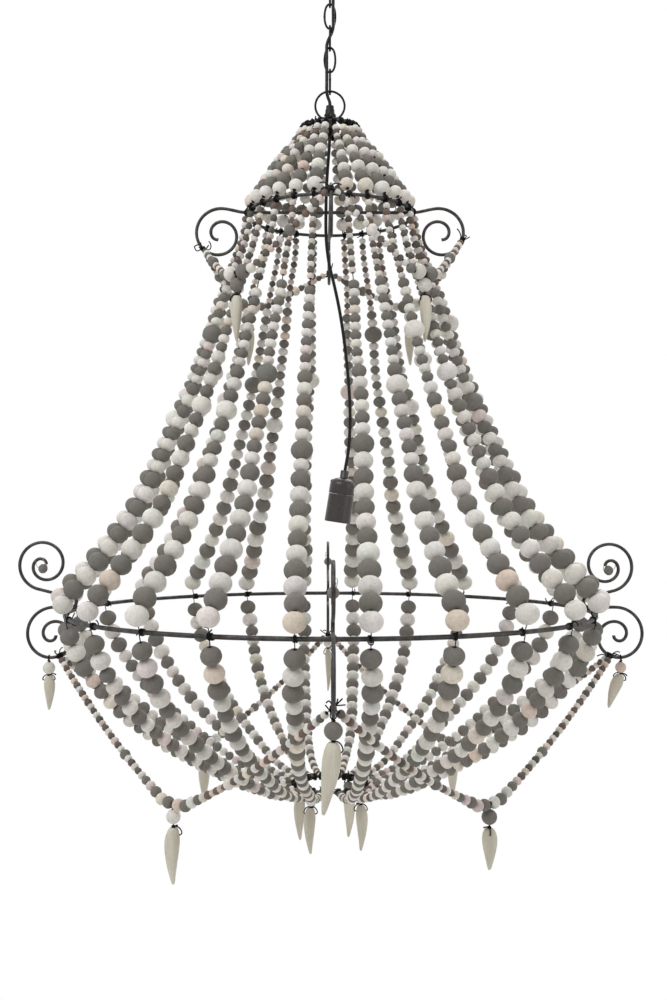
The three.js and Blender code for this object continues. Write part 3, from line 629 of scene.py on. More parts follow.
class Stock:
    """The vertices, faces and painted values of one mesh, gathered piece by piece."""

    def __init__(self, *shapes: Shape) -> None:
        """Starts with some closed shapes, or none.

        Args:
            shapes: the shapes.
        """
        self.points: list[np.ndarray] = []
        self.faces: list[np.ndarray] = []
        self.values: dict[str, list[np.ndarray]] = {"paint": [], "place": [], "rim": []}
        self.count = 0
        for shape in shapes:
            self.add(shape)

    def add(self, shape: Shape, **values: np.ndarray) -> None:
        """Adds one closed shape.

        Args:
            shape: the shape.
            values: painted values by name, a row for each vertex.
        """
        points, faces = shape
        self.points.append(points)
        self.faces.extend(f + self.count for f in faces)
        self.count += len(points)
        for key, value in values.items():
            self.values[key].append(value)

    def wire(self, points: np.ndarray, radius: float = TIE_WIRE, sides: int = 6) -> None:
        """Adds a round wire through points."""
        self.add(sweep(points, radius, sides))

    def make(self, name: str, finish: Finish, body: str | None = None, stands_for: Sequence[str] = (),
             sharp: float = 42.0, slot: str | None = None) -> bpy.types.Object:
        """Makes the mesh and sets it on its body.

        Args:
            name: the name of the piece.
            finish: its finish.
            body: the CAD body that carries it, or None where it bends between two.
            stands_for: the CAD nodes that it stands for.
            sharp: edges bent more than this, in degrees, stay sharp.
            slot: the record's slot, where it isn't the finish's own; not used.

        Returns:
            The object.
        """
        mesh = bpy.data.meshes.new(name)
        points = np.vstack(self.points) * MM
        mesh.vertices.add(len(points))
        mesh.vertices.foreach_set("co", points.astype(np.float32).ravel())
        corners = np.concatenate([f.ravel() for f in self.faces])
        sizes = np.concatenate([np.full(len(f), f.shape[1]) for f in self.faces])
        starts = np.concatenate([[0], np.cumsum(sizes)[:-1]])
        mesh.loops.add(len(corners))
        mesh.loops.foreach_set("vertex_index", corners.astype(np.int32))
        mesh.polygons.add(len(sizes))
        mesh.polygons.foreach_set("loop_start", starts.astype(np.int32))
        mesh.update(calc_edges=True)
        mesh.validate()
        mesh.shade_smooth()
        mesh.set_sharp_from_angle(angle=math.radians(sharp))
        for key, kind, item in (("paint", "FLOAT_COLOR", "color"), ("place", "FLOAT_VECTOR", "vector"),
                                ("rim", "FLOAT", "value")):
            if self.values[key]:
                spread = mesh.attributes.new(key, kind, "POINT")
                spread.data.foreach_set(item, np.concatenate(self.values[key]).astype(np.float32).ravel())
        made = bpy.data.objects.new(name, mesh)
        bpy.context.scene.collection.objects.link(made)
        mesh.materials.append(finish.material())
        if body:
            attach(made, body)
        if stands_for:
            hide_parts(*stands_for)
        log.info("%s: %d faces", name, len(mesh.polygons))
        return made


def cut_out(made: bpy.types.Object, cutters: Stock, sharp: float = 45.0) -> None:
    """Cuts holes out of a piece and keeps the result as its mesh.

    Args:
        made: the piece.
        cutters: the shapes of the holes.
        sharp: edges bent more than this, in degrees, stay sharp.
    """
    tool = cutters.make("cutter", ZINC)
    made.modifiers.new("holes", "BOOLEAN").object = tool
    bpy.context.view_layer.update()
    cut = bpy.data.meshes.new_from_object(made.evaluated_get(bpy.context.evaluated_depsgraph_get()))
    made.modifiers.clear()
    made.data = cut
    cut.shade_smooth()
    cut.set_sharp_from_angle(angle=math.radians(sharp))
    cut.name = made.name
    bpy.data.objects.remove(tool)


# The studio.

@dataclass
class Studio:
    """Camera, white surroundings, soft lamps and a pale floor.

    Args:
        distance: how far the camera stands from the chandelier's axis.
        camera_z: the camera's height.
        aside: how far the camera stands to the right of the axis.
        lens_mm: its focal length on a 36 mm frame.
        shift: how far the picture is shifted, right and up, as shares of its long side.
        surround: the strength of the white surroundings as light, from the front and from behind.
        lamps_m: each lamp's name, place and size in metres, and power in watts.
        aim_m: the point that all lamps face.
        floor_drop: how far the floor lies under the ceiling.
        floor_half_m: half the floor's width, in metres.
        fade_m: the distances from the axis at which the floor starts to turn white, and has turned.
    """

    distance: float = 1807
    camera_z: float = -905
    aside: float = -16
    lens_mm: float = 42.12
    shift: tuple[float, float] = (0.0139, 0.012)
    surround: tuple[float, float] = (0.27, 0.92)
    lamps_m: tuple = (("key", (-1.5, -1.9, 1.4), 2.0, 54), ("top", (0.5, 1.5, 1.3), 2.0, 50),
                      ("fill", (2.6, -1.6, -0.6), 1.8, 9))
    aim_m: tuple[float, float, float] = (0, 0, -0.9)
    floor_drop: float = 2700
    floor_half_m: float = 30.0
    fade_m: tuple[float, float] = (0.7, 1.7)

    def build(self) -> None:
        """Builds the camera, the surroundings, the lamps and the floor."""
        self.camera()
        self.world()
        self.lamps()
        self.floor()

    @staticmethod
    def stand(name: str, data: Any) -> bpy.types.Object:
        """Puts a camera, a lamp or a mesh in the scene.

        Args:
            name: its name.
            data: what it shows.

        Returns:
            The object.
        """
        made = bpy.data.objects.new(name, data)
        bpy.context.scene.collection.objects.link(made)
        return made

    def camera(self) -> None:
        """Sets the camera level, looking along +Y."""
        data = bpy.data.cameras.new("camera")
        data.lens, data.sensor_width = self.lens_mm, 36.0
        data.shift_x, data.shift_y = self.shift
        data.clip_start, data.clip_end = 0.05, 60.0
        made = self.stand("camera", data)
        made.location = Vector((self.aside, -self.distance, self.camera_z)) * MM
        made.rotation_euler = (QUARTER, 0, 0)
        bpy.context.scene.camera = made

    def world(self) -> None:
        """Surrounds the object with white paper that lights it a little less than it shows."""
        world = bpy.data.worlds.new("white_paper_surroundings")
        bpy.context.scene.world = world
        world.use_nodes = True
        tree = world.node_tree
        tree.nodes.clear()
        seen = self.seen(tree)
        # The paper stands behind, so less light comes from the camera's side.
        way = node(tree, "ShaderNodeSeparateXYZ", {0: node(tree, "ShaderNodeTexCoord").outputs["Generated"]})
        light = mapped(tree, way.outputs["Y"], -1.0, 1.0, *self.surround)
        paper = node(tree, "ShaderNodeBackground", {
            "Color": grey(1.0), "Strength": mapped(tree, seen, 0.0, 1.0, light, 1.0)})
        node(tree, "ShaderNodeOutputWorld", {"Surface": paper.outputs[0]})
        bpy.context.scene.view_settings.view_transform = "Standard"

    @staticmethod
    def seen(tree: Tree) -> Socket:
        """Tells the rays that show a picture from those that light the object.

        Args:
            tree: the node tree that asks.

        Returns:
            1 for rays from the camera, or by way of gloss or glass, and 0 for the others.
        """
        path = node(tree, "ShaderNodeLightPath").outputs
        either = sums(tree, "MAXIMUM", path["Is Camera Ray"], path["Is Glossy Ray"])
        return sums(tree, "MAXIMUM", either, path["Is Transmission Ray"])

    def lamps(self) -> None:
        """Hangs a large soft lamp at the front left, one above and behind, and a weak one on the right."""
        for name, place, size, watts in self.lamps_m:
            data = bpy.data.lights.new(name, "AREA")
            data.size, data.energy = size, watts
            made = self.stand(name, data)
            made.location = place
            made.rotation_euler = (Vector(self.aim_m) - Vector(place)).to_track_quat("-Z", "Y").to_euler()

    def floor(self) -> None:
        """Lays a pale floor that takes the shadow near the object and is white farther out."""
        half, z = self.floor_half_m, -self.floor_drop * MM
        mesh = bpy.data.meshes.new("floor")
        mesh.from_pydata([(-half, -half, z), (half, -half, z), (half, half, z), (-half, half, z)], [],
                         [(0, 1, 2, 3)])
        made = self.stand("floor", mesh)
        material = bpy.data.materials.new("matt_white_floor")
        material.use_nodes = True
        tree = material.node_tree
        tree.nodes.clear()
        place = node(tree, "ShaderNodeTexCoord").outputs["Object"]
        flat = node(tree, "ShaderNodeMapping", {"Vector": place, "Scale": (1.0, 1.0, 0.0)})
        far = node(tree, "ShaderNodeVectorMath", {0: flat.outputs[0]}, operation="LENGTH")
        out = node(tree, "ShaderNodeMapRange", {
            "Value": far.outputs["Value"], "From Min": self.fade_m[0], "From Max": self.fade_m[1]},
            interpolation_type="SMOOTHSTEP")
        white = sums(tree, "MULTIPLY", out.outputs[0], self.seen(tree))
        paper = node(tree, "ShaderNodeBsdfDiffuse", {"Color": linear("#f4f3f1")})
        glow = node(tree, "ShaderNodeEmission", {"Color": grey(1.0), "Strength": 1.0})
        both = node(tree, "ShaderNodeMixShader", {0: white, 1: paper.outputs[0], 2: glow.outputs[0]})
        node(tree, "ShaderNodeOutputMaterial", {"Surface": both.outputs[0]})
        mesh.materials.append(material)


# Sizes of the iron frame, shared by what hangs on it.

@dataclass(frozen=True)
class Ring:
    """A round ring of rod, level and on the axis, and the azimuth of each quarter's first strand on it."""

    radius: float
    rod: float
    z: float
    first: float

    def place(self, k: int) -> float:
        """Gives the azimuth of a strand, counted from the first one right of the front."""
        return (k // 6) * QUARTER + self.first + k % 6 * (QUARTER - 2 * self.first) / 5

    def beside(self, up: float = 0.0) -> tuple[float, float]:
        """Gives the radius and height of a wire that passes the ring on its outside."""
        return self.radius + self.rod / 2 + 1.1, self.z + up

    def points(self, corners: int) -> np.ndarray:
        """Gives points round the ring."""
        return np.array([at(a, self.radius, self.z) for a in round_angles(corners)])


@dataclass(frozen=True)
class Scroll:
    """A scroll bent from rod, whose bend radius fades from the first to the last."""

    first: float
    last: float
    fade: float
    lead: float
    tip: float

    def line(self, way: int, steps: int = 110) -> np.ndarray:
        """Lays its line from its start.

        Args:
            way: 1 where it turns up, and -1 where it turns down.
            steps: how many steps the line has.

        Returns:
            Points [out, up], as rows.
        """
        turn = (self.tip - self.lead) / steps
        k = np.arange(steps) + 0.5
        bend = self.last + (self.first - self.last) * (1 - (k / steps) ** self.fade)
        angle = self.lead + turn * k
        u = np.concatenate([[0], np.cumsum(bend * turn * np.cos(angle))])
        w = np.concatenate([[0], np.cumsum(bend * turn * np.sin(angle))])
        return np.stack([u, way * w], -1)

    def start(self, reach: float) -> float:
        """Gives how far out it starts, where its outermost point reaches a radius."""
        return reach - float(self.line(1)[:, 0].max())

    def heading(self, share: float) -> float:
        """Gives the angle that it has turned to at a share of its sweep."""
        return self.lead + (self.tip - self.lead) * share


def curled(line: np.ndarray) -> np.ndarray:
    """Rolls the tip of a scroll's line a little farther in.

    Args:
        line: its points [out, up], ending at the tip of the solid.

    Returns:
        The longer line.
    """
    before, last = line[-2] - line[-3], line[-1] - line[-2]
    way = np.sign(before[0] * last[1] - before[1] * last[0])
    angle = math.atan2(last[1], last[0]) + way * np.linspace(0, TIP_CURL, 12)
    steps = TIP_RADIUS * TIP_CURL / len(angle) * np.stack([np.cos(angle), np.sin(angle)], -1)
    return np.vstack([line, line[-1] + np.cumsum(steps, 0)])


def middle_z(name: str) -> float:
    """Gives the middle height of a CAD node."""
    low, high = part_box(name)
    return float((low.z + high.z) / 2 / MM)


@dataclass
class Skeleton:
    """The rings, scrolls and legs that everything else is measured from.

    Args:
        loop_over_crown: how far the hanging loop's middle lies over the crown ring.
        bar_rod: the thickness of the crossbars and brackets.
        seat: the gap where one rod rests on another.
        bend_radius: the radius of a bracket's turn behind the main ring.
        small: the scroll at a crossbar's end.
        high: each bracket's upper scroll.
        low: each bracket's lower scroll.
        small_overhang: how far a crossbar's scroll reaches past the upper ring.
        high_overhang: how far each upper scroll reaches past the main ring.
        low_overhang: how far each lower scroll reaches past it.
        steps: how many straight steps a scroll has in the solids. Ties sit on some of their corners.
        low_swag_step: the step at which a lower swag is tied.
        small_swag_step: the step at which an upper swag is tied, side by side.
    """

    crown: Ring = field(default_factory=lambda: Ring(42, 4, middle_z("crown_ring"), math.radians(9)))
    upper: Ring = field(default_factory=lambda: Ring(128, 5, middle_z("upper_ring"), math.radians(11)))
    main: Ring = field(default_factory=lambda: Ring(400, 6.4, middle_z("main_ring"), math.radians(6.6)))
    bottom: Ring = field(default_factory=lambda: Ring(55, 5, middle_z("bottom_ring"), math.radians(13.5)))
    loop_over_crown: float = 35.5
    bar_rod: float = 5
    seat: float = 0.3
    bend_radius: float = 8.6
    small: Scroll = Scroll(40, 7, 1.2, math.radians(-10), math.radians(550))
    high: tuple[Scroll, ...] = tuple(Scroll(first, 7, 1.65, math.radians(12), math.radians(556))
                                     for first in (33, 38, 33, 38))
    low: tuple[Scroll, ...] = tuple(Scroll(first, 7, 1.2, 0.0, math.radians(556))
                                    for first in (50, 43, 50, 43))
    small_overhang: float = 78
    high_overhang: tuple[float, ...] = (66, 66, 66, 79)
    low_overhang: tuple[float, ...] = (84, 82, 84, 67)
    steps: int = 19
    low_swag_step: int = 7
    small_swag_step: tuple[int, ...] = (2, 4, 4, 5)

    def __post_init__(self) -> None:
        """Works out the heights and places that follow."""
        self.loop_z = self.crown.z + self.loop_over_crown
        self.low_leg_z = self.main.z + self.main.rod / 2 + self.bar_rod / 2 + self.seat
        self.small_start = self.small.start(self.upper.radius + self.small_overhang)
        # A crossbar rises a little before its scroll starts.
        self.small_rise = (self.small_start - self.upper.radius) * math.tan(-self.small.lead)

    def crossbar_z(self, side: int) -> float:
        """Gives the height of the bar that ends on a side: one lies on the upper ring, and one under it."""
        way = -1 if side % 2 == 0 else 1
        return self.upper.z + way * (self.upper.rod / 2 + self.bar_rod / 2 + self.seat)

    def low_start(self, side: int) -> float:
        """Gives where a bracket's lower scroll starts."""
        return self.low[side].start(self.main.radius + self.low_overhang[side])

    def high_start(self, side: int) -> float:
        """Gives where a bracket's upper scroll starts."""
        return self.high[side].start(self.main.radius + self.high_overhang[side])

    def tie(self, small: bool, side: int) -> tuple[np.ndarray, np.ndarray]:
        """Finds where a swag is tied on a downward scroll.

        Args:
            small: whether it is a crossbar's scroll, or else a bracket's lower one.
            side: the side, counted from the front.

        Returns:
            The point on the rod's axis, and the direction that the rod runs in.
        """
        scroll = self.small if small else self.low[side]
        step = self.small_swag_step[side] if small else self.low_swag_step
        start = self.small_start if small else self.low_start(side)
        z = self.crossbar_z(side) + self.small_rise if small else self.low_leg_z
        u, w = scroll.line(-1, self.steps * 6)[step * 6]
        angle = scroll.heading(step / self.steps)
        run = outward(side * QUARTER) * math.cos(angle) - UP * math.sin(angle)
        return at(side * QUARTER, start + u, z + w), run


SKELETON = Skeleton()


# Beads.

@dataclass(frozen=True)
class Bead:
    """One bead on a wire, and its length as a share of its width."""

    centre: np.ndarray
    heading: np.ndarray
    size: float
    paint: BeadPaint
    long: float = 0.9


def flatness(width: float) -> float:
    """Gives a strand bead's length as a share of its width: middling beads are the flattest."""
    return float(np.interp(width, (11, 16.2, 21, 26.5), (0.89, 0.82, 0.86, 0.885)))


class Bench:
    """A bench where beads are turned and strung, with the source of their small differences."""

    def __init__(self, *key: int) -> None:
        """Starts with no beads and no wires, and with a random source of its own."""
        self.rng = np.random.default_rng((SEED, *key))
        self.beads, self.wires = Stock(), Stock()

    def any_angle(self) -> float:
        """Draws an angle."""
        return self.rng.uniform(0, FULL)

    @staticmethod
    def profile(size: float, long: float, drum: float,
                rows: int) -> tuple[list[tuple[float, float]], list[float]]:
        """Draws the half section of a bead and its bore.

        Args:
            size: the bead's width.
            long: its length as a share of its width.
            drum: the power that flattens its sides, 1 for round ones.
            rows: how many rows of points its outside has.

        Returns:
            The closed profile, and each point's distance from the hole's edge.
        """
        radius = size / 2
        half = radius * (1.01 * long if drum == 1 else 0.84)
        hole = 0.55 + 0.055 * size if drum == 1 else 0.9 + 0.055 * size
        first = math.asin(min(0.95, ((hole + 0.25) / radius) ** (1 / drum)))
        angles = np.linspace(first, math.pi - first, rows)
        outside = [(radius * math.sin(a) ** drum, half * math.cos(a) / math.cos(first)) for a in angles]
        outside = [(r, z * math.cos(first) ** 0.3) for r, z in outside]
        top = outside[0][1]
        lip = [(outside[0][0] + 0.9, top - 0.16)] if size > 12 else []
        low_lip = [(r, -z) for r, z in lip]
        profile = [(hole, top - 0.35), outside[0], *lip, *outside[1:-1], *low_lip, outside[-1],
                   (hole, 0.35 - top)]
        start = np.array(outside[0])
        far = [min(np.hypot(*(np.array((r, abs(z))) - start)), 9.0) for r, z in profile]
        far[0] = far[-1] = 0.0
        return profile, far

    def bead(self, bead: Bead, drum: float = 1.0) -> None:
        """Turns one bead: a flattened ball or a short drum, with a real hole along its axis.

        Args:
            bead: where it sits, its size and its paint.
            drum: the power that flattens its sides.
        """
        rng = self.rng
        size = bead.size * (1 + rng.normal(0, 0.012))
        rows, segments = (9, 20) if size > 17.5 else (7, 16) if size > 11 else (6, 12)
        profile, far = self.profile(size, bead.long, drum, rows)
        points, faces = lathe(profile, segments, closed=True)
        lean = unit(bead.heading + rng.normal(0, 0.035, 3))
        axes = frame_of(lean, self.any_angle())
        stretch = np.array([1 + rng.normal(0, 0.012), 1 + rng.normal(0, 0.012), 1.0])
        light = 1 + rng.normal(0, 0.045)
        colour = np.array(linear(bead.paint.value)[:3]) * light * (1 + rng.normal(0, 0.014, 3))
        paint = np.broadcast_to(np.append(np.clip(colour, 0, 0.88), 1.0), (len(points), 4))
        self.beads.add(placed((points * stretch, faces), bead.centre, axes), paint=paint,
                       place=points + rng.uniform(-400, 400, 3), rim=np.repeat(far, segments))

    def pale(self, small: bool) -> BeadPaint:
        """Picks a pale paint: mostly white, and more often cream or pink where the bead is small.

        Args:
            small: whether the bead is small.

        Returns:
            The paint.
        """
        odd = (0.15, 0.1, 0.22) if small else (0.1, 0.035, 0.03)
        drawn = self.rng.random()
        for share, paint in zip(np.cumsum(odd), (BeadPaint.CREAM, BeadPaint.PEACH, BeadPaint.PINK)):
            if drawn < share:
                return paint
        return BeadPaint.WHITE

    def dark(self, size: float) -> BeadPaint:
        """Picks the grey of a bead's size: small ones are browner, and vary."""
        return BeadPaint.GREY if size > 12.5 else DARKS[int(self.rng.choice([1, 1, 2, 3, 4]))]

    def finish(self, name: str) -> None:
        """Makes the beads and wires of one CAD node that the basket carries."""
        self.beads.make(f"{name}_beads", PAINTED_WOOD, "chandelier", [name])
        self.wires.make(f"{name}_wires", ANNEALED_WIRE, "chandelier")


@dataclass
class Strands:
    """Twenty-four strings of beads from ring to ring, wired in pairs at the crown.

    Args:
        wire: the radius of the wire that they are strung on.
        crown_shares: points between the crown and the upper ring, as shares of the way out and down.
        crown_beads: the bead's width at each of them.
        upper_shares: the same from the upper ring to the main ring.
        upper_beads: the bead's width at each of them.
        lower_shares: the same from the main ring to the bottom ring.
        lower_beads: the bead's width at each of them.
        accent: the width of each strand's one oversized bead.
        accent_shares: how far down between the upper and the main ring it sits, strand by strand.
        grey_accents: the strands whose oversized bead is grey. The others' are pale.
        classes: the sizes that the beads of each run come in, so that it grows in jumps.
    """

    wire: float = 0.75
    crown_shares: tuple = ((0.07, 0.07), (0.48, 0.44), (0.92, 0.88))
    crown_beads: tuple = (10.2, 16.8, 23)
    upper_shares: tuple = ((0.013, 0.018), (0.12, 0.17), (0.165, 0.23), (0.265, 0.364), (0.371, 0.487),
                           (0.493, 0.605), (0.605, 0.716), (0.757, 0.813), (0.897, 0.892), (0.978, 0.93),
                           (1.03, 0.96))
    upper_beads: tuple = (9.6, 10.6, 15.6, 17, 20.5, 23, 26.5, 28, 30, 30, 29)
    lower_shares: tuple = ((0.003, 0.09), (0.05, 0.23), (0.16, 0.43), (0.33, 0.63), (0.55, 0.82),
                           (0.8, 0.98), (0.96, 1.005))
    lower_beads: tuple = (27.5, 26, 22.8, 20.6, 16.6, 12.6, 10.4)
    accent: float = 30
    accent_shares: tuple = (0.626, 0.49, 0.325, 0.4, 0.48, 0.3, 0.4, 0.28, 0.33, 0.48, 0.27, 0.42,
                            0.36, 0.52, 0.4, 0.45, 0.38, 0.28, 0.5, 0.33, 0.49, 0.5, 0.43, 0.626)
    grey_accents: tuple = (0, 4, 7, 10, 14, 19, 22, 23)
    classes: tuple = ((10.2, 11.6, 13.4, 15.6, 17.5, 20.5, 23), (10.6, 16.2, 21, 26.5, 30),
                      (9.8, 10.8, 12.4, 14.5, 17, 19.5, 22.5, 27.5))

    def build(self) -> None:
        """Strings all strands, pair by pair."""
        for pair in range(12):
            bench = Bench(1, pair)
            for k in (2 * pair, 2 * pair + 1):
                self.string(bench, k)
            bench.finish(f"strand_pair_{pair + 1:02d}")

    def run(self, k: int, rng: np.random.Generator, high: Ring, low: Ring, shares: tuple,
            ends: tuple[float, float]) -> Line:
        """Lays the line of one run between two rings.

        Args:
            k: the strand.
            rng: the source of its small sideways sway.
            high: the ring above.
            low: the ring below.
            shares: its profile.
            ends: how far over the rings' middles the line starts and ends.

        Returns:
            The line.
        """
        rz = [high.beside(ends[0])]
        rz += [(high.radius + (low.radius - high.radius) * out, high.z + (low.z - high.z) * down)
               for out, down in shares]
        rz.append(low.beside(ends[1]))
        sway = rng.normal(0, 1.3, len(rz))
        sway[[0, 1, -2, -1]] = 0
        points = []
        for (radius, z), aside in zip(rz, sway):
            share = (radius - high.radius) / (low.radius - high.radius)
            azimuth = high.place(k) + (low.place(k) - high.place(k)) * share
            points.append(at(azimuth, radius, z) + outward(azimuth + QUARTER) * aside)
        return Line(points, 3.0)

    def string(self, bench: Bench, k: int) -> None:
        """Strings one strand and ties its wire to the four rings.

        Args:
            bench: where it is strung.
            k: the strand.
        """
        s, rng = SKELETON, bench.rng
        bottom = Ring(s.bottom.radius - 0.8, s.bottom.rod, s.bottom.z, s.bottom.first)
        runs = ((s.crown, s.upper, self.crown_shares, self.crown_beads, (0, 2.5)),
                (s.upper, s.main, self.upper_shares, self.upper_beads, (-2.5, 3.2)),
                (s.main, bottom, self.lower_shares, self.lower_beads, (-3.2, 0)))
        for number, (high, low, shares, sizes, ends) in enumerate(runs):
            line = self.run(k, rng, high, low, shares, ends)
            heights = [high.z + (low.z - high.z) * down for _, down in shares]
            marks = [float(line.run[np.argmin(np.abs(line.points[:, 2] - z))]) for z in heights]
            marks = list(np.maximum.accumulate(marks))
            # The beads start unevenly at the crown and end unevenly over the main ring.
            if number == 0:
                marks[0] += rng.uniform(-1, 5)
            elif number == 1:
                marks[-1] += rng.uniform(-1, 4)
            else:
                marks[-1] = line.length - 7
            places, widths = self.spread(marks, sizes, number, rng)
            paints = self.paints(widths, number, bench)
            if number == 0 and paints[0] in DARKS:
                places, widths, paints = places[1:], widths[1:], paints[1:]
                wider = (places[-1] - marks[0]) / (places[-1] - places[0])
                places = marks[0] + (places - places[0]) * wider
            if number == 1:
                self.put_accent(line, places, widths, paints, k)
            for place, width, paint in zip(places, widths, paints):
                bench.bead(Bead(line.at(place), line.heading(place), width, paint, flatness(width)))
            bench.wires.wire(line.part(0, line.length, 9), self.wire, 5)
        self.knots(bench, k)

    def spread(self, marks: list[float], sizes: Sequence[float], number: int,
               rng: np.random.Generator) -> tuple[np.ndarray, np.ndarray]:
        """Sets beads against each other between the first and the last mark.

        Args:
            marks: distances along the line.
            sizes: the beads' width at each mark.
            number: the run, from the crown down.
            rng: the source of where this strand's sizes jump, and of bare wire at the first jump.

        Returns:
            Their places and their widths.
        """
        places, widths = [], []
        s = marks[0]
        jump = rng.normal(0, 0.6)
        bare = rng.uniform(7, 14) if number == 1 and rng.random() < 0.35 else 0.0
        while s < marks[-1] + 1:
            wanted = float(np.interp(s, marks, sizes)) + jump
            width = min(self.classes[number], key=lambda c: abs(c - wanted))
            if places:
                s = places[-1] + (flatness(widths[-1]) * widths[-1] + flatness(width) * width) / 2
                if bare and width > 14:
                    s, bare = s + bare, 0.0
            places.append(s)
            widths.append(width)
            s += flatness(width) * width
        places, widths = np.array(places), np.array(widths)
        share = (marks[-1] - marks[0]) / (places[-1] - places[0])
        return marks[0] + (places - places[0]) * share, widths * min(1.03, max(0.97, share))

    @staticmethod
    def paints(widths: np.ndarray, number: int, bench: Bench) -> list[BeadPaint]:
        """Alternates grey and pale down one run, pale above a ring and grey under it.

        Args:
            widths: the beads' widths.
            number: the run, from the crown down.
            bench: the source of the odd colours.

        Returns:
            A paint for each bead.
        """
        even_is_dark = number == 2 or len(widths) % 2 == 0
        return [bench.dark(w) if (i % 2 == 0) == even_is_dark else bench.pale(w < 13)
                for i, w in enumerate(widths)]

    def put_accent(self, line: Line, places: np.ndarray, widths: np.ndarray, paints: list[BeadPaint],
                   k: int) -> None:
        """Swaps in the strand's one oversized bead, and moves its neighbours to make room.

        Args:
            line: the run's line.
            places: the beads' places, changed here.
            widths: their widths, changed here.
            paints: their paints, changed here.
            k: the strand.
        """
        s = SKELETON
        goal = line.nearest(s.upper.z + (s.main.z - s.upper.z) * self.accent_shares[k])
        wants_grey = k in self.grey_accents
        fits = [i for i, p in enumerate(paints) if (p in DARKS) == wants_grey and widths[i] > 12]
        i = min(fits, key=lambda j: abs(places[j] - goal))
        extra = (flatness(self.accent) * self.accent - flatness(widths[i]) * widths[i]) / 2
        above = (places[:i] - places[0]) / max(places[i] - places[0], 1)
        below = (places[-1] - places[i + 1:]) / max(places[-1] - places[i], 1)
        places[:i] -= extra * above
        places[i + 1:] += extra * below
        widths[i] = self.accent
        if wants_grey:
            paints[i] = BeadPaint.GREY

    def knots(self, bench: Bench, k: int) -> None:
        """Winds the strand's wire round each ring, with loose ends.

        Args:
            bench: where it is strung.
            k: the strand.
        """
        s, rng, wires = SKELETON, bench.rng, bench.wires
        for ring, turns, ends, heaped in ((s.crown, 3.2, 1, 2), (s.upper, 2.7, 2, 1), (s.main, 2.7, 2, 0),
                                          (s.bottom, 3.1, 2, 2)):
            azimuth = ring.place(k)
            out, side = outward(azimuth), outward(azimuth + QUARTER)
            turns = turns + rng.choice([-0.5, 0, 0.5])
            radius = ring.rod / 2 + TIE_WIRE + 0.1
            centre = at(azimuth, ring.radius, ring.z) + side * rng.normal(0, 0.8)
            winding = coil(centre, side, out, radius, 2.1 * TIE_WIRE * rng.uniform(1.0, 1.3),
                           bench.any_angle(), turns)
            wires.wire(winding)
            for _ in range(heaped):
                lean = unit(side + out * rng.normal(0, 0.25) + UP * rng.normal(0, 0.25))
                wires.wire(coil(centre + side * rng.normal(0, 1.2), lean, unit(np.cross(lean, UP)),
                                radius + 1.7 * TIE_WIRE, 1.4 * TIE_WIRE, bench.any_angle(),
                                rng.uniform(1.1, 1.9)))
            for end in range(ends):
                edge = winding[-1 if end else 0]
                lean = (unit(edge - centre) * rng.uniform(0.3, 1.0)
                        + side * rng.choice([-1, 1]) * rng.uniform(0.3, 1))
                way = unit(lean + UP * rng.uniform(-0.5, 0.9) + out * rng.uniform(0, 0.6))
                wires.wire(tail(edge, way, rng.uniform(4, 11), rng))


@dataclass(frozen=True)
class SwagKind:
    """One of the two kinds of swag.

    Args:
        bead: the width of its small beads.
        drum: the power that flattens their sides.
        middle_bead: the width of the bead by the pendant.
        middle: the radius and the height of its lowest point.
        sag: how far each half hangs under a straight line.
        graded: the widths of the beads next to the middle, from the middle outwards.
        odd: places, as shares of a half, of odd larger beads, with their widths.
    """

    bead: float
    drum: float
    middle_bead: float
    middle: tuple[float, float]
    sag: float
    graded: tuple[float, ...]
    odd: tuple[tuple[float, float], ...] = ()


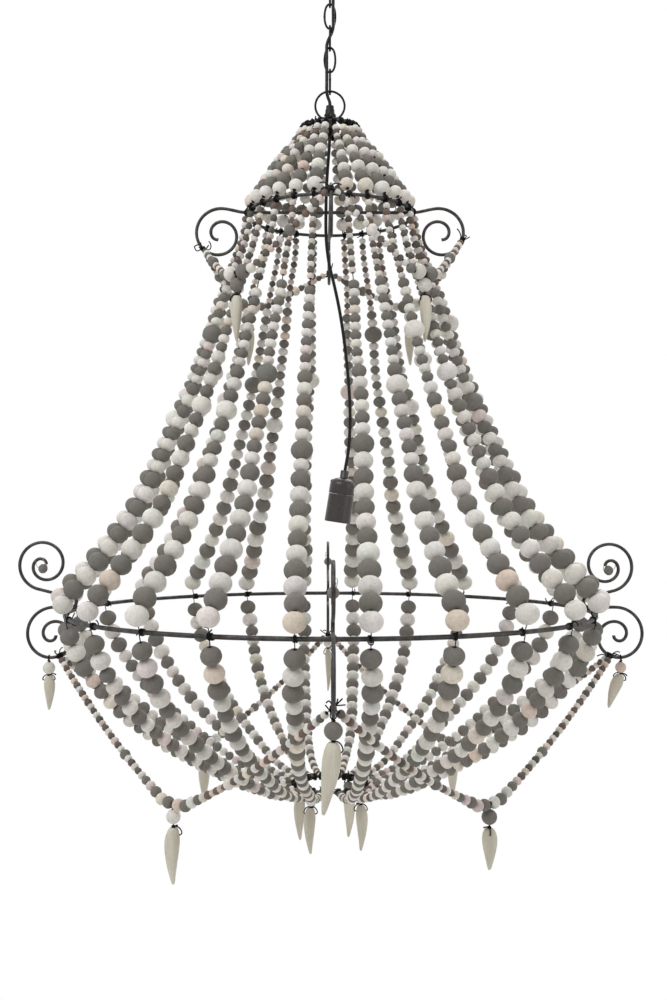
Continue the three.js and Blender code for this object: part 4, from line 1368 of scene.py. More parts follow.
@dataclass
class Swags:
    """Strings of small beads slung from scroll to scroll, four on the crossbars and four on the brackets.

    Args:
        wire: the radius of the wire that they are strung on.
        eye_room: the bare wire between the two middle beads.
        pitch: the step from a round bead to the next, as a share of their widths.
        drum_pitch: the same between drums.
        upper: the kind that hangs from the crossbars.
        lower: the kind that hangs from the brackets.
        bow: the points of the bow of wire at the left end of the front left upper swag, from its winding.
        loose: the directions of the two straight wire ends at the front bracket.
    """

    wire: float = 0.65
    eye_room: float = 4.0
    pitch: float = 0.9
    drum_pitch: float = 0.84
    upper: SwagKind = SwagKind(10.5, 1.0, 22, (190, -563), 3, (22, 15), ((0.45, 17),))
    lower: SwagKind = SwagKind(11, 0.75, 17.5, (304, -1302), 12, (17.5, 17.5, 16.5, 14.5, 13, 12),
                               ((0.31, 12), (0.64, 15.5)))
    bow: tuple = ((0, 0, 0), (-5, -3, 6), (-11, -4, 3), (-8, -3, -3), (-1, -2, 0))
    loose: tuple = ((0.75, -0.1, 0.8), (1.0, -0.2, 0.12))

    def build(self) -> None:
        """Strings all eight swags and ties them to the scrolls."""
        for small, kind, level in ((True, self.upper, "upper"), (False, self.lower, "lower")):
            for side in range(4):
                bench = Bench(2, int(small), side)
                middle = at((side + 0.5) * QUARTER, *kind.middle)
                along = outward((side + 1.5) * QUARTER)
                for way, end_side in ((1, side), (-1, (side + 1) % 4)):
                    self.half(bench, kind, end_side, way, middle, along * way)
                eye = along * self.eye_room / 2
                bench.wires.wire(smooth([middle - eye, middle + eye], 1), self.wire)
                bench.finish(f"swag_{level}_{side + 1}")

    def half(self, bench: Bench, kind: SwagKind, side: int, way: int, middle: np.ndarray,
             along: np.ndarray) -> None:
        """Strings one half of a swag, from its tie to the wire eye in the middle.

        Args:
            bench: where it is strung.
            kind: the kind of swag.
            side: the side that it is tied on.
            way: 1 for the half that starts the swag, and -1 for the one that ends it.
            middle: the swag's lowest point.
            along: the direction from this half to the other there.
        """
        s, rng, small = SKELETON, bench.rng, kind is self.upper
        knot, run = s.tie(small, side)
        across = outward((side + 1) * QUARTER) * way
        end = knot + across * (s.bar_rod / 2 + 1.1)
        inner = middle - along * (self.eye_room / 2 + kind.middle_bead)
        span = np.linspace(0, 1, 14)
        slung = end + (inner - end) * span[:, None] - UP * (4 * kind.sag * span * (1 - span))[:, None]
        line = Line([*slung, middle - along * (self.eye_room / 2 + kind.middle_bead / 2),
                     middle - along * self.eye_room / 2], 2.5)
        place, count = line.length - kind.graded[0] / 2, 0
        odd = [(line.length * share, width) for share, width in kind.odd]
        while place > kind.bead * 0.55:
            if count < len(kind.graded):
                width = kind.graded[count]
            else:
                width = kind.bead * (1 + rng.normal(0, 0.04))
                for passed in [o for o in odd if place < o[0]]:
                    odd.remove(passed)
                    width = passed[1]
            # Next to the middle, an upper swag has grey on its far half, and a lower one on its near half.
            grey_turn = (count % 2 == 0) == ((way < 0) if small else (way > 0))
            if small and width == kind.odd[0][1]:
                grey_turn = side == 3 or way < 0
            paint = bench.dark(width) if grey_turn else bench.pale(True)
            drum = kind.drum if width < 12 else 1.0
            bench.bead(Bead(line.at(place), line.heading(place), width, paint), drum)
            count += 1
            following = kind.graded[count] if count < len(kind.graded) else kind.bead
            place -= (self.drum_pitch if drum < 1 else self.pitch) * (width + following) / 2
        bench.wires.wire(line.part(0, line.length, 8), self.wire, 5)
        self.tie_on(bench, small, side, way, knot, run)

    def tie_on(self, bench: Bench, small: bool, side: int, way: int, knot: np.ndarray,
               run: np.ndarray) -> None:
        """Winds a swag's wire round its scroll, with loose ends.

        Args:
            bench: where it is strung.
            small: whether it hangs from the crossbars.
            side: the side that it is tied on.
            way: 1 for the half that starts the swag, and -1 for the one that ends it.
            knot: the point on the rod's axis.
            run: the direction of the rod there.
        """
        rng, wires = bench.rng, bench.wires
        across = outward((side + 1) * QUARTER) * way
        winding = coil(knot + run * way * 1.6, run, unit(np.cross(across, run)),
                       SKELETON.bar_rod / 2 + TIE_WIRE + 0.1, 2.1 * TIE_WIRE, bench.any_angle(),
                       4.4 if way > 0 else 2.6)
        wires.wire(winding)
        for edge in (winding[0], winding[-1]):
            lean = unit(unit(edge - knot) + UP * rng.uniform(0.1, 1.0) + across * rng.uniform(-0.8, 0.8))
            wires.wire(tail(edge, lean, rng.uniform(9, 15), rng))
        if small and side == 3 and way > 0:
            wires.wire(smooth(winding[0] + np.array(self.bow), 1.2))
        if not small and side == 0 and way > 0:
            for lean in self.loose:
                wires.wire(smooth([winding[-1], winding[-1] + unit(np.array(lean)) * 12], 3))


class Arch(Enum):
    """Where the wire shows that holds a tooth: over both its sides, over one, or in a hole in front."""

    BOTH = "both"
    RIGHT = "right"
    LEFT = "left"
    FRONT = "front"


@dataclass(frozen=True)
class ToothSize:
    """The sizes of one pendant: its bead, its tooth, and how it hangs, with its tilt in degrees."""

    bead: float
    width: float
    length: float
    tilt: float = 0.0
    arch: Arch = Arch.BOTH
    paint: BeadPaint = BeadPaint.WHITE


@dataclass
class Pendants:
    """Sixteen pendants, each a bead and a carved tooth on black wire. Each swings on its own wire eye.

    Args:
        swag_stem: the bare wire over the bead of one that hangs on a swag.
        stem: the bare wire over the bead of any other, and between every bead and its tooth.
        seat: the gap between an eye and what carries it.
        solid_wire: the radius of the solid's wire.
        solid_sides: how many sides the solid's wire has.
        outline: a tooth's half width, as shares of its length and its widest half width.
        kinds: the sizes of each kind.
        own: the sizes of those that differ from their kind.
    """

    swag_stem: float = 5.0
    stem: float = 2.5
    seat: float = 0.3
    solid_wire: float = 0.8
    solid_sides: int = 6
    outline: tuple = ((0.0, 0.42), (0.02, 0.6), (0.06, 0.74), (0.14, 0.9), (0.26, 1.0), (0.4, 0.95),
                      (0.55, 0.8), (0.7, 0.6), (0.83, 0.42), (0.92, 0.3), (0.97, 0.21), (0.99, 0.13))
    kinds: dict = field(default_factory=lambda: {
        "swag_upper": ToothSize(20.5, 17, 66),
        "swag_lower": ToothSize(20, 20, 70, arch=Arch.RIGHT),
        "ring": ToothSize(16, 18, 70),
    })
    own: dict = field(default_factory=lambda: {
        "bracket_front": ToothSize(22, 22.5, 86, 8, Arch.RIGHT, BeadPaint.GREY),
        "bracket_right": ToothSize(17, 18, 55, 20, Arch.BOTH, BeadPaint.PEACH),
        "bracket_back": ToothSize(17, 13, 82),
        "bracket_left": ToothSize(19, 17, 53),
        "swag_lower_2": ToothSize(20, 18, 62, 0, Arch.FRONT, BeadPaint.CREAM),
        "swag_lower_1": ToothSize(21, 21, 57, 0, Arch.FRONT, BeadPaint.GREY),
        "swag_lower_4": ToothSize(20, 21, 78, 0, Arch.RIGHT),
        "swag_upper_1": ToothSize(20.5, 17, 66, 0, Arch.RIGHT),
        "swag_upper_4": ToothSize(20.5, 17, 66, 0, Arch.LEFT, BeadPaint.GREY),
        "ring_2": ToothSize(16, 18, 70, 0, Arch.BOTH, BeadPaint.GREY),
    })

    def build(self) -> None:
        """Hangs all sixteen pendants where their joints are."""
        joints = {j["child"]: j for j in frame["joints"]}
        names = [f"bracket_{side}" for side in SIDES]
        names += [f"{kind}_{k}" for kind in self.kinds for k in (1, 2, 3, 4)]
        for number, name in enumerate(names):
            size = self.own.get(name) or self.kinds[name.rsplit("_", 1)[0]]
            joint = joints[f"pendant_{name}"]
            carrier = TIE_WIRE if "swag" in name else SKELETON.bar_rod / 2
            self.hang(Bench(3, number), f"pendant_{name}", size, np.array(joint["pos_m"], float) / MM,
                      unit(np.array(joint["axis"], float)), carrier)

    def hang(self, bench: Bench, name: str, size: ToothSize, pivot: np.ndarray, swing: np.ndarray,
             carrier: float) -> None:
        """Makes the bead, the tooth and the wires of one pendant.

        Args:
            bench: where it is strung.
            name: the CAD node that it stands for, which is also its body.
            size: its sizes.
            pivot: the point that it swings about.
            swing: the direction of what carries it.
            carrier: the radius of what carries it.
        """
        rng, wires = bench.rng, bench.wires
        eye = (carrier + self.seat + self.solid_wire) / math.cos(math.pi / self.solid_sides)
        stem = self.swag_stem if "swag" in name else self.stem
        bead_top = pivot[2] - eye - stem
        bead_foot = bead_top - size.bead
        middle = np.array([pivot[0], pivot[1], (bead_top + bead_foot) / 2])
        bench.bead(Bead(middle, UP, size.bead, size.paint, 0.98))
        bench.beads.make(f"{name}_bead", PAINTED_WOOD, name)
        top = np.array([pivot[0], pivot[1], bead_foot - stem])
        turn = math.radians(size.tilt)
        hole = self.tooth(name, size, top, turn, rng)
        side = unit(np.cross(UP, swing))
        ring = carrier + self.seat + TIE_WIRE
        angle = np.linspace(-0.46 * math.pi, 1.46 * math.pi, 26)
        rise = np.cross(swing, side)
        rise = -rise if rise[2] < 0 else rise
        wires.wire(pivot + ring * (np.cos(angle)[:, None] * side + np.sin(angle)[:, None] * rise))
        wires.wire(smooth([pivot - UP * (ring - 0.3), [pivot[0], pivot[1], bead_foot - 2.2]], 4))
        wires.wire(coil(pivot - UP * (eye + stem * 0.45), UP, RIGHT, 2 * TIE_WIRE, 1.9, bench.any_angle(),
                        0.44 * stem))
        for leg in self.legs(size, hole, top, turn):
            wires.wire(smooth(leg, 1.2))
        knot = top + UP * 1.4
        wires.wire(coil(knot, RIGHT, UP, 1.5 * TIE_WIRE, 1.6, 0.0, 2.4))
        turned = 1 if size.arch is Arch.LEFT else rng.choice([-1, 1])
        way = unit(np.array([turned * 1.0, -0.4, rng.uniform(-0.1, 0.7)]))
        end = tail(knot, way, rng.uniform(7, 11), rng)
        wires.wire(end)
        ball = lathe([(0.3, 1.2), (0.95, 0.85), (1.35, 0.1), (1.05, -0.8), (0.35, -1.2)], 8)
        wires.add(placed(ball, end[-1], frame_of(unit(end[-1] - end[-2]))))
        wires.make(f"{name}_wires", ANNEALED_WIRE, name)

    def tooth(self, name: str, size: ToothSize, top: np.ndarray, turn: float,
              rng: np.random.Generator) -> np.ndarray:
        """Carves one tooth and drills its cross hole.

        Args:
            name: the CAD node.
            size: its sizes.
            top: the middle of its top.
            turn: how far it leans, towards -X at the tip.
            rng: the source of its carving.

        Returns:
            The middle of the hole.
        """
        down = np.concatenate([np.linspace(0, 0.1, 6), np.linspace(0.13, 0.9, 20),
                               np.linspace(0.92, 0.99, 6)])
        wide = np.interp(down, *np.array(self.outline).T)
        wide = np.convolve(np.pad(wide, 1, mode="edge"), (0.2, 0.6, 0.2), "valid")
        angle = round_angles(28)
        square = (np.abs(np.cos(angle)) ** 2.5 + np.abs(np.sin(angle)) ** 2.5) ** (-1 / 2.5)
        facets = 1 + 0.02 * np.cos(angle * 5 + rng.uniform(0, FULL)) + 0.012 * np.cos(angle * 9)
        curve = rng.uniform(0.01, 0.035) * size.length * rng.choice([-1, 1])
        rows = []
        for share, w in zip(down, wide):
            ripple = 1 + 0.012 * math.sin(11 * share + rng.normal(0, 0.2))
            r = size.width / 2 * w * square * facets * ripple
            bow = curve * 4 * share * (1 - share)
            rows.append(np.stack([r * np.cos(angle) + bow, 0.84 * r * np.sin(angle),
                                  np.full_like(angle, -share * size.length)], -1))
        lean = np.array([[math.cos(turn), 0, math.sin(turn)], [0, 1, 0],
                         [-math.sin(turn), 0, math.cos(turn)]])
        faces = skin(len(rows), len(angle), inward=True)
        carved = Stock(placed((np.vstack(rows), faces), top, lean))
        carved = carved.make(f"{name}_tooth", BONE, name, [name], 38)
        across = BACK if size.arch is Arch.FRONT else RIGHT @ lean.T
        hole = top + np.array([0, 0, -0.13 * size.length]) @ lean.T
        cut_out(carved, Stock(placed(lathe([(1.25, 20), (1.25, -20)], 10), hole, frame_of(across))), 38)
        return hole

    def legs(self, size: ToothSize, hole: np.ndarray, top: np.ndarray,
             turn: float) -> list[list[np.ndarray]]:
        """Lays the wire from the knot over the tooth into its hole.

        Args:
            size: the pendant's sizes.
            hole: the middle of the hole.
            top: the middle of the tooth's top.
            turn: how far the tooth leans.

        Returns:
            Lines of points, one for each leg.
        """
        across = np.array([math.cos(turn), 0, -math.sin(turn)])
        half = size.width / 2 * 0.9 + TIE_WIRE + 0.3
        if size.arch is Arch.FRONT:
            across, half = -BACK, size.width / 2 * 0.76 + TIE_WIRE
        ways = {Arch.BOTH: (1, -1), Arch.LEFT: (-1,)}.get(size.arch, (1,))
        depth = np.linalg.norm(hole - top)
        return [[top + UP * 1.6, top + across * way * half * 0.45 + UP * 1.5,
                 top + across * way * half * 0.95 + (hole - top) * 0.3,
                 hole + across * way * (half + 0.6) + unit(top - hole) * depth * 0.2,
                 hole + across * way * half * 0.8, hole + across * way * half * 0.2] for way in ways]


# The iron frame.

def lump(half: tuple[float, float, float], azimuth: float, rng: np.random.Generator,
         centre: np.ndarray) -> Shape:
    """Makes one weld: a flattened drop with ripples.

    Args:
        half: its half sizes outward, sideways and up.
        azimuth: the side that it faces.
        rng: the source of its shape.
        centre: its middle.

    Returns:
        The shape.
    """
    angles = np.linspace(0.12, math.pi - 0.12, 11)
    points, faces = lathe([(math.sin(a), math.cos(a)) for a in angles], 20)
    ripple = 1 + 0.06 * np.sin(points[:, 1] * 14 + rng.uniform(0, FULL)) + rng.normal(0, 0.02, len(points))
    axes = np.stack([outward(azimuth), outward(azimuth + QUARTER), UP], -1)
    return placed((points * ripple[:, None] * np.array(half), faces), centre, axes)


@dataclass
class IronFrame:
    """Rings, crossbars and scroll brackets of forged rod, welded where they cross.

    Args:
        sides: how many sides a rod has.
        uneven: how far hammering has left a rod's thickness uneven, as a share.
        crossbar_weld: the half sizes of the weld of a crossbar and the upper ring.
        bracket_weld: those of a bracket and the main ring.
        inner_weld: those of the small weld inside the main ring.
        curl_bead: the width of the bead in a bracket's upper curl.
        curl_wire: the radius of its wire.
    """

    sides: int = 14
    uneven: float = 0.018
    crossbar_weld: tuple[float, float, float] = (3.4, 4.2, 2.2)
    bracket_weld: tuple[float, float, float] = (5.0, 4.4, 2.4)
    inner_weld: tuple[float, float, float] = (3.6, 3.2, 1.8)
    curl_bead: float = 15
    curl_wire: float = 0.45

    def build(self) -> None:
        """Builds the rings, the bars, the brackets, their welds and the little curl beads."""
        s = SKELETON
        for name, ring, corners in (("upper_ring", s.upper, 144), ("main_ring", s.main, 360),
                                    ("bottom_ring", s.bottom, 96)):
            self.rod(name, ring.points(corners), ring.rod, corners, UP, closed=True)
        self.crossbars()
        for side in range(4):
            self.bracket(side)
        self.welds()

    def rod(self, name: str, points: np.ndarray, thick: float, seed: int, normal: np.ndarray,
            closed: bool = False) -> None:
        """Forges a rod that hammering has left a little uneven.

        Args:
            name: its CAD node.
            points: its line.
            thick: its thickness.
            seed: which rod it is.
            normal: the direction that its section starts from.
            closed: whether it is a ring.
        """
        rng = np.random.default_rng((SEED, 4, seed))
        share = np.linspace(0, 1, len(points))
        wave = sum(np.sin(FULL * (f * share + rng.random())) for f in (7, 13, 29, 41))
        radii = thick / 2 * (1 + self.uneven * wave / 2)
        stock = Stock(sweep(points, radii, self.sides, closed, normal))
        stock.make(name + "_rod", SCALED_IRON, "chandelier", [name])

    def crossbars(self) -> None:
        """Bends the two bars that cross the upper ring, with a scroll at each end."""
        s = SKELETON
        for name, side in (("crossbar_left_right", 1), ("crossbar_front_back", 0)):
            scroll = s.small.line(-1) + np.array([s.small_start, s.small_rise])
            half = np.vstack([[[0, 0]], [[s.upper.radius * f, 0] for f in (0.3, 0.6, 0.85, 0.96)],
                              [[s.upper.radius + 2, 0.2]], scroll])
            z = s.crossbar_z(side)
            far = [at(side * QUARTER, u, z + w) for u, w in half]
            near = [at(side * QUARTER + math.pi, u, z + w) for u, w in half[:0:-1]]
            self.rod(name, smooth(near + far, 2.2), s.bar_rod, side, outward((side + 1) * QUARTER))

    def bracket(self, side: int) -> None:
        """Bends a bracket: a scroll above, a tight turn behind the main ring, and a scroll below.

        Args:
            side: the side that it stands on.
        """
        s = SKELETON
        rise = (s.high_start(side) - s.main.radius) * math.tan(s.high[side].lead)
        upper = s.high[side].line(1) + np.array([s.high_start(side), s.low_leg_z + 2 * s.bend_radius + rise])
        angle = np.linspace(QUARTER, QUARTER + math.pi, 13)
        bend = np.stack([s.main.radius + s.bend_radius * np.cos(angle),
                         s.low_leg_z + s.bend_radius * (1 + np.sin(angle))], -1)
        lower = s.low[side].line(-1) + np.array([s.low_start(side), s.low_leg_z])
        line = np.vstack([curled(upper)[::-1], bend, curled(lower)])
        points = smooth([at(side * QUARTER, u, z) for u, z in line], 2.0)
        self.rod(f"scroll_bracket_{SIDES[side]}", points, s.bar_rod, 10 + side,
                 outward((side + 1) * QUARTER))
        self.curl(side, upper)

    def curl(self, side: int, upper: np.ndarray) -> None:
        """Hangs a small bead on silvery wire in a bracket's upper curl.

        Args:
            side: the bracket's side.
            upper: the line of its upper scroll.
        """
        azimuth, bench = side * QUARTER, Bench(5, side)
        out, across = outward(azimuth), outward(azimuth + QUARTER)
        tip, hold = at(azimuth, *upper[-1]), at(azimuth, *upper[-14])
        centre = tip + out * -1.5 + UP * -15
        bench.bead(Bead(centre, unit(out + UP * 0.2), self.curl_bead, BeadPaint.GREY))
        bench.beads.make(f"curl_bead_{SIDES[side]}", PAINTED_WOOD, "chandelier")
        way = [tip, tip + across * 3 + UP * 2, centre + across * 2 - out * 7, centre,
               centre + out * 8 + UP * 2, hold + UP * 2.8, hold + across * 3.2, hold - UP * 2.8]
        bench.wires.wire(smooth(way, 1.2), self.curl_wire)
        bench.wires.make(f"curl_wire_{SIDES[side]}", TINNED_WIRE, "chandelier")

    def welds(self) -> None:
        """Sets a rippled weld wherever a bar or a bracket sits on a ring, and where the rings close."""
        s, rng, spots = SKELETON, np.random.default_rng((SEED, 6)), []
        for side in range(4):
            legs = (s.low_leg_z + s.main.z) / 2 + 0.4
            level = (s.crossbar_z(side) + s.upper.z) / 2
            for radius, z, half in ((s.upper.radius, level, self.crossbar_weld),
                                    (s.main.radius + 1, legs, self.bracket_weld),
                                    (s.main.radius - 6, s.low_leg_z - 0.8, self.inner_weld)):
                spots.append((half, side * QUARTER, radius, z))
        for azimuth, ring in ((0.35, s.upper), (2.2, s.main), (1.1, s.bottom)):
            spots.append(((ring.rod * 0.56, 2.4, ring.rod * 0.56), azimuth, ring.radius, ring.z))
        lumps = [lump(half, azimuth, rng, at(azimuth, radius, z)) for half, azimuth, radius, z in spots]
        Stock(*lumps).make("frame_welds", WELD, "chandelier")


@dataclass
class Crown:
    """The hanging loop on its hollow stem, the cord grip in it, and the crown ring on its spider.

    Args:
        loop_radius: the radius of the loop's middle line.
        loop_wire: the loop's thickness.
        foot_half: half the gap between the loop's feet.
        stem_top: how far the stem's top lies over the crown ring.
        stem: the stem's section, as radius and height from its top.
        nut: the section of the nut under the crown ring.
        collar: the grip's section, as radius and height from its foot.
        hub: the section of the spider's hub.
        spokes: how many spokes the spider has.
        heap: the line of the wire heap over a spoke, as radius and height over the crown ring.
    """

    loop_radius: float = 22.6
    loop_wire: float = 3.4
    foot_half: float = 9.0
    stem_top: float = 15.3
    stem: tuple = ((3.2, 0), (8.2, 0), (8.9, -0.5), (9, -1), (9, -3.4), (8.7, -4), (8.6, -8.6),
                   (9, -9.2), (9, -11.9), (8.6, -12.5), (6.9, -12.6), (6.5, -13.1), (6.5, -22.7),
                   (5.9, -23.5), (3.2, -23.5))
    nut: tuple = ((6.6, 0.2), (11.2, 0), (11.2, -3.6), (6.6, -3.8))
    collar: tuple = ((2.6, 20), (5.3, 20), (5.9, 19.6), (6.0, 18.9), (6.1, 14.6), (6.9, 14.2),
                     (7.1, 13.6), (7.4, 7.6), (7.7, 6.9), (8.4, 6.7), (8.9, 6.3), (9, 5.8), (9, 0.7),
                     (8.7, 0.1), (2.6, 0.1))
    hub: tuple = ((6.8, 2.5), (12.4, 2.5), (13, 1.9), (13, -1.9), (12.4, -2.5), (6.8, -2.5))
    spokes: int = 4
    heap: tuple = ((9.5, 13), (25, 10.5), (41, 4.5))

    def build(self) -> None:
        """Builds the loop and stem, the grip, the crown ring with its spokes, and the wire heaps on it."""
        self.loop()
        self.grip()
        self.spider()
        self.heaps()

    def loop(self) -> None:
        """Bends the loop and welds it to the stem."""
        crown, middle = SKELETON.crown, SKELETON.loop_z
        span = math.asin(self.foot_half / self.loop_radius)
        angle = np.linspace(-math.pi / 2 + span, 1.5 * math.pi - span, 90)
        points = np.stack([self.loop_radius * np.cos(angle), np.zeros_like(angle),
                           middle + self.loop_radius * np.sin(angle)], -1)
        shapes = [sweep(points, self.loop_wire / 2, 14, normal=BACK),
                  placed(lathe(self.stem, 48, closed=True), UP * (crown.z + self.stem_top)),
                  placed(lathe(self.nut, 6, closed=True), UP * (crown.z - crown.rod / 2 - 1.2))]
        foot_z = middle - self.loop_radius * math.cos(span) - 0.4
        for way in (-1, 1):
            foot = np.array([self.foot_half * way * 0.98, 0, foot_z])
            shapes.append(lump((3.0, 2.6, 2.2), QUARTER, np.random.default_rng((SEED, 7, way + 1)), foot))
        Stock(*shapes).make("hanging_loop_and_stem", BLACK_CHAIN, "chandelier", ["hanging_loop"])

    def grip(self) -> None:
        """Turns the grip: a ribbed collar, a waist and a cone that holds the cord."""
        points, faces = lathe(self.collar, 48, closed=True)
        high = points[:, 2]
        around = np.arctan2(points[:, 1], points[:, 0])
        ribs = np.where((high > 0.5) & (high < 6.0), 1 - 0.03 * (np.cos(around * 24) > 0), 1.0)
        points[:, :2] *= ribs[:, None]
        foot = SKELETON.crown.z + self.stem_top + SKELETON.seat
        Stock(placed((points, faces), UP * foot)).make("cord_grip_body", NYLON, "chandelier", ["cord_grip"])

    def spider(self) -> None:
        """Builds the crown ring, its spokes and its hub."""
        ring = SKELETON.crown
        shapes = [sweep(ring.points(72), ring.rod / 2, 12, closed=True, normal=UP)]
        for k in range(self.spokes):
            spoke = smooth([at(k * QUARTER, 11.5, ring.z), at(k * QUARTER, ring.radius - 1, ring.z)], 4)
            shapes.append(sweep(spoke, ring.rod / 2, 12))
            shapes.append(lump((2.8, 2.6, 2.4), k * QUARTER, np.random.default_rng((SEED, 8, k)),
                               at(k * QUARTER, ring.radius - 2, ring.z)))
        shapes.append(placed(lathe(self.hub, 48, closed=True), UP * ring.z))
        Stock(*shapes).make("crown_ring_and_spider", SCALED_IRON, "chandelier", ["crown_ring"],
                            slot="chain_steel")

    def heaps(self) -> None:
        """Heaps knotted tie wire over each spoke, falling from the stem to the crown ring."""
        wires, z = Stock(), SKELETON.crown.z
        for k in range(self.spokes):
            rng = np.random.default_rng((SEED, 13, k))
            azimuth = k * QUARTER
            line = Line([at(azimuth, radius, z + up) for radius, up in self.heap])
            for number in range(11):
                centre = line.at((number + rng.uniform(0.2, 0.8)) * line.length / 11)
                lean = unit(rng.normal(0, 1, 3) + 1.2 * outward(azimuth))
                across = unit(np.cross(lean, UP + 0.1 * outward(azimuth + QUARTER)))
                wires.wire(coil(centre + rng.normal(0, 0.9, 3), lean, across, rng.uniform(2.2, 3.9),
                                2.3 * TIE_WIRE, rng.uniform(0, FULL), rng.uniform(1.4, 2.6)))
                if number % 4 == 2:
                    way = unit(outward(azimuth + rng.normal(0, 0.9)) + UP * rng.uniform(0.0, 0.7))
                    wires.wire(tail(centre, way, rng.uniform(5, 9), rng))
        wires.wire(coil(UP * (z + self.stem_top - 8.6), UP, outward(0), 9.6, 2.2 * TIE_WIRE, 0, 3.3))
        wires.make("crown_wire_heaps", ANNEALED_WIRE, "chandelier")


@dataclass
class Chain:
    """Five welded oval links.

    Args:
        length: a link's length.
        width: its width.
        wire: its thickness.
        first_top: the height of the first link's top.
        step: how far each link hangs under the one before.
        straight: the powers that make its sides straighter, across and along. Both are 1 in an oval.
    """

    length: float = 41
    width: float = 20
    wire: float = 3.4
    first_top: float = -87.4
    step: float = 33.6
    straight: tuple[float, float] = (0.86, 0.96)

    def build(self) -> None:
        """Bends each link, thickens its weld, and hangs it on its body."""
        angle = round_angles(72)
        sine, cosine = np.sin(angle), np.cos(angle)
        half_length, half_width = (self.length - self.wire) / 2, (self.width - self.wire) / 2
        x = half_width * np.sign(sine) * np.abs(sine) ** self.straight[0]
        z = half_length * np.sign(cosine) * np.abs(cosine) ** self.straight[1]
        weld = 1 + 0.14 * np.exp(-((angle - 1.5 * math.pi) / 0.1) ** 2)
        for k in range(5):
            top = self.first_top - k * self.step
            across = BACK if k % 2 == 0 else RIGHT
            points = across * x[:, None] + UP * (top - half_length + z)[:, None]
            link = sweep(points, self.wire / 2 * weld, 12, True, np.array([-across[1], across[0], 0.0]))
            name = f"chain_link_{k + 1}"
            Stock(link).make(f"{name}_welded", BLACK_CHAIN, f"link_{k + 1}", [name])


@dataclass
class CeilingFitting:
    """Fixing plate, canopy and hook. None of it is in the photograph.

    Args:
        plate: the plate's length, width and thickness.
        corner: the radius of its corners.
        slots: the places of its two screw slots along it.
        slot_radius: half a slot's width.
        slot_half: half the straight length of a slot.
        rim: the canopy's outside, as radius and height.
        hook_wire: the radius of the hook's wire.
        eye_radius: the radius of its eye.
        eye_drop: how far the eye's middle lies under the ceiling.
        nut: the section of the nut under the canopy.
        hole_offset: how far from the axis the cord goes through the canopy.
        hole_radius: the radius of its hole.
    """

    plate: tuple[float, float, float] = (96, 22, 2.4)
    corner: float = 4.0
    slots: tuple[float, float] = (-30, 30)
    slot_radius: float = 2.4
    slot_half: float = 6
    rim: tuple = ((17, -58), (17.6, -58), (25, -55.6), (38, -49), (48, -42.5), (52, -38), (54.5, -27),
                  (58, -10), (59.4, -2.4), (60, -0.9), (59.7, -0.3))
    hook_wire: float = 2.2
    eye_radius: float = 8
    eye_drop: float = 83.9
    nut: tuple = ((2.3, -54.6), (5.0, -54.7), (5.6, -55.4), (5.6, -56.4), (2.3, -56.6))
    hole_offset: float = 11
    hole_radius: float = 3.6

    def build(self) -> None:
        """Builds the plate with its slots, the spun canopy and the bent hook."""
        self.strap()
        self.canopy()
        self.hook()

    def strap(self) -> None:
        """Presses the fixing plate: rounded ends and two long screw slots."""
        length, width, thick = self.plate
        ring = []
        for cx, cy, start in ((1, 1, 0), (-1, 1, 1), (-1, -1, 2), (1, -1, 3)):
            for a in np.linspace(start * QUARTER, (start + 1) * QUARTER, 7):
                ring.append((cx * (length / 2 - self.corner) + self.corner * math.cos(a),
                             cy * (width / 2 - self.corner) + self.corner * math.sin(a)))
        levels = ((-thick, 0.985), (-thick + 0.3, 1.0), (-0.3, 1.0), (0.0, 0.985))
        points = np.vstack([self.level(np.array(ring) * share, z) for z, share in levels])
        plate = Stock((points, skin(4, len(ring))))
        made = plate.make("ceiling_plate_pressed", ZINC, "ceiling", ["ceiling_plate"])
        angle, cutters = round_angles(20), Stock()
        for x in self.slots:
            slot = np.stack([x + self.slot_radius * np.cos(angle) + self.slot_half * np.sign(np.cos(angle)),
                             self.slot_radius * np.sin(angle)], -1)
            cutters.add((np.vstack([self.level(slot, -6.0), self.level(slot, 3.0)]), skin(2, 20)))
        cut_out(made, cutters)

    @staticmethod
    def level(outline: np.ndarray, z: float) -> np.ndarray:
        """Gives an outline's points at a height."""
        return np.column_stack([outline, np.full(len(outline), z)])

    def canopy(self) -> None:
        """Spins the canopy and drills the cord's hole, with a rolled rim."""
        outside = smooth([(r, z, 0) for r, z in self.rim], 2.2)[:, :2]
        inside = [(max(r - 1.2, 2.5), min(z + (1.2 if r < 45 else 0.4), -0.4)) for r, z in outside[::-1]]
        profile = [(2.5, -58), *map(tuple, outside), *inside[2:], (2.5, -56.8)]
        points, faces = lathe(profile, 96, closed=True)
        made = Stock((points, [f[:, ::-1] for f in faces])).make("canopy_spun", POWDER_COAT, "ceiling",
                                                                ["ceiling_canopy"], sharp=50)
        side = self.hole_offset * math.sqrt(0.5)
        drill = lathe([(self.hole_radius, 3), (self.hole_radius, -3)], 24)
        cut_out(made, Stock(placed(drill, np.array([side, -side, -57.4]))))

    def hook(self) -> None:
        """Bends the hook: a straight shank and an open eye whose end curls back to the shank."""
        angle = np.linspace(0.5 * math.pi, -1.36 * math.pi, 60)
        eye = np.stack([self.eye_radius * np.cos(angle), np.zeros_like(angle),
                        -self.eye_drop + self.eye_radius * np.sin(angle)], -1)
        line = smooth([(0, 0, z) for z in (-2.8, -20, -40, -60, -70)], 3)
        bent = sweep(np.vstack([line, eye[1:]]), self.hook_wire, 14, normal=BACK)
        stock = Stock(bent, lathe(self.nut, 6, closed=True))
        stock.make("hook_bent", BLACK_CHAIN, "ceiling", ["canopy_hook"])


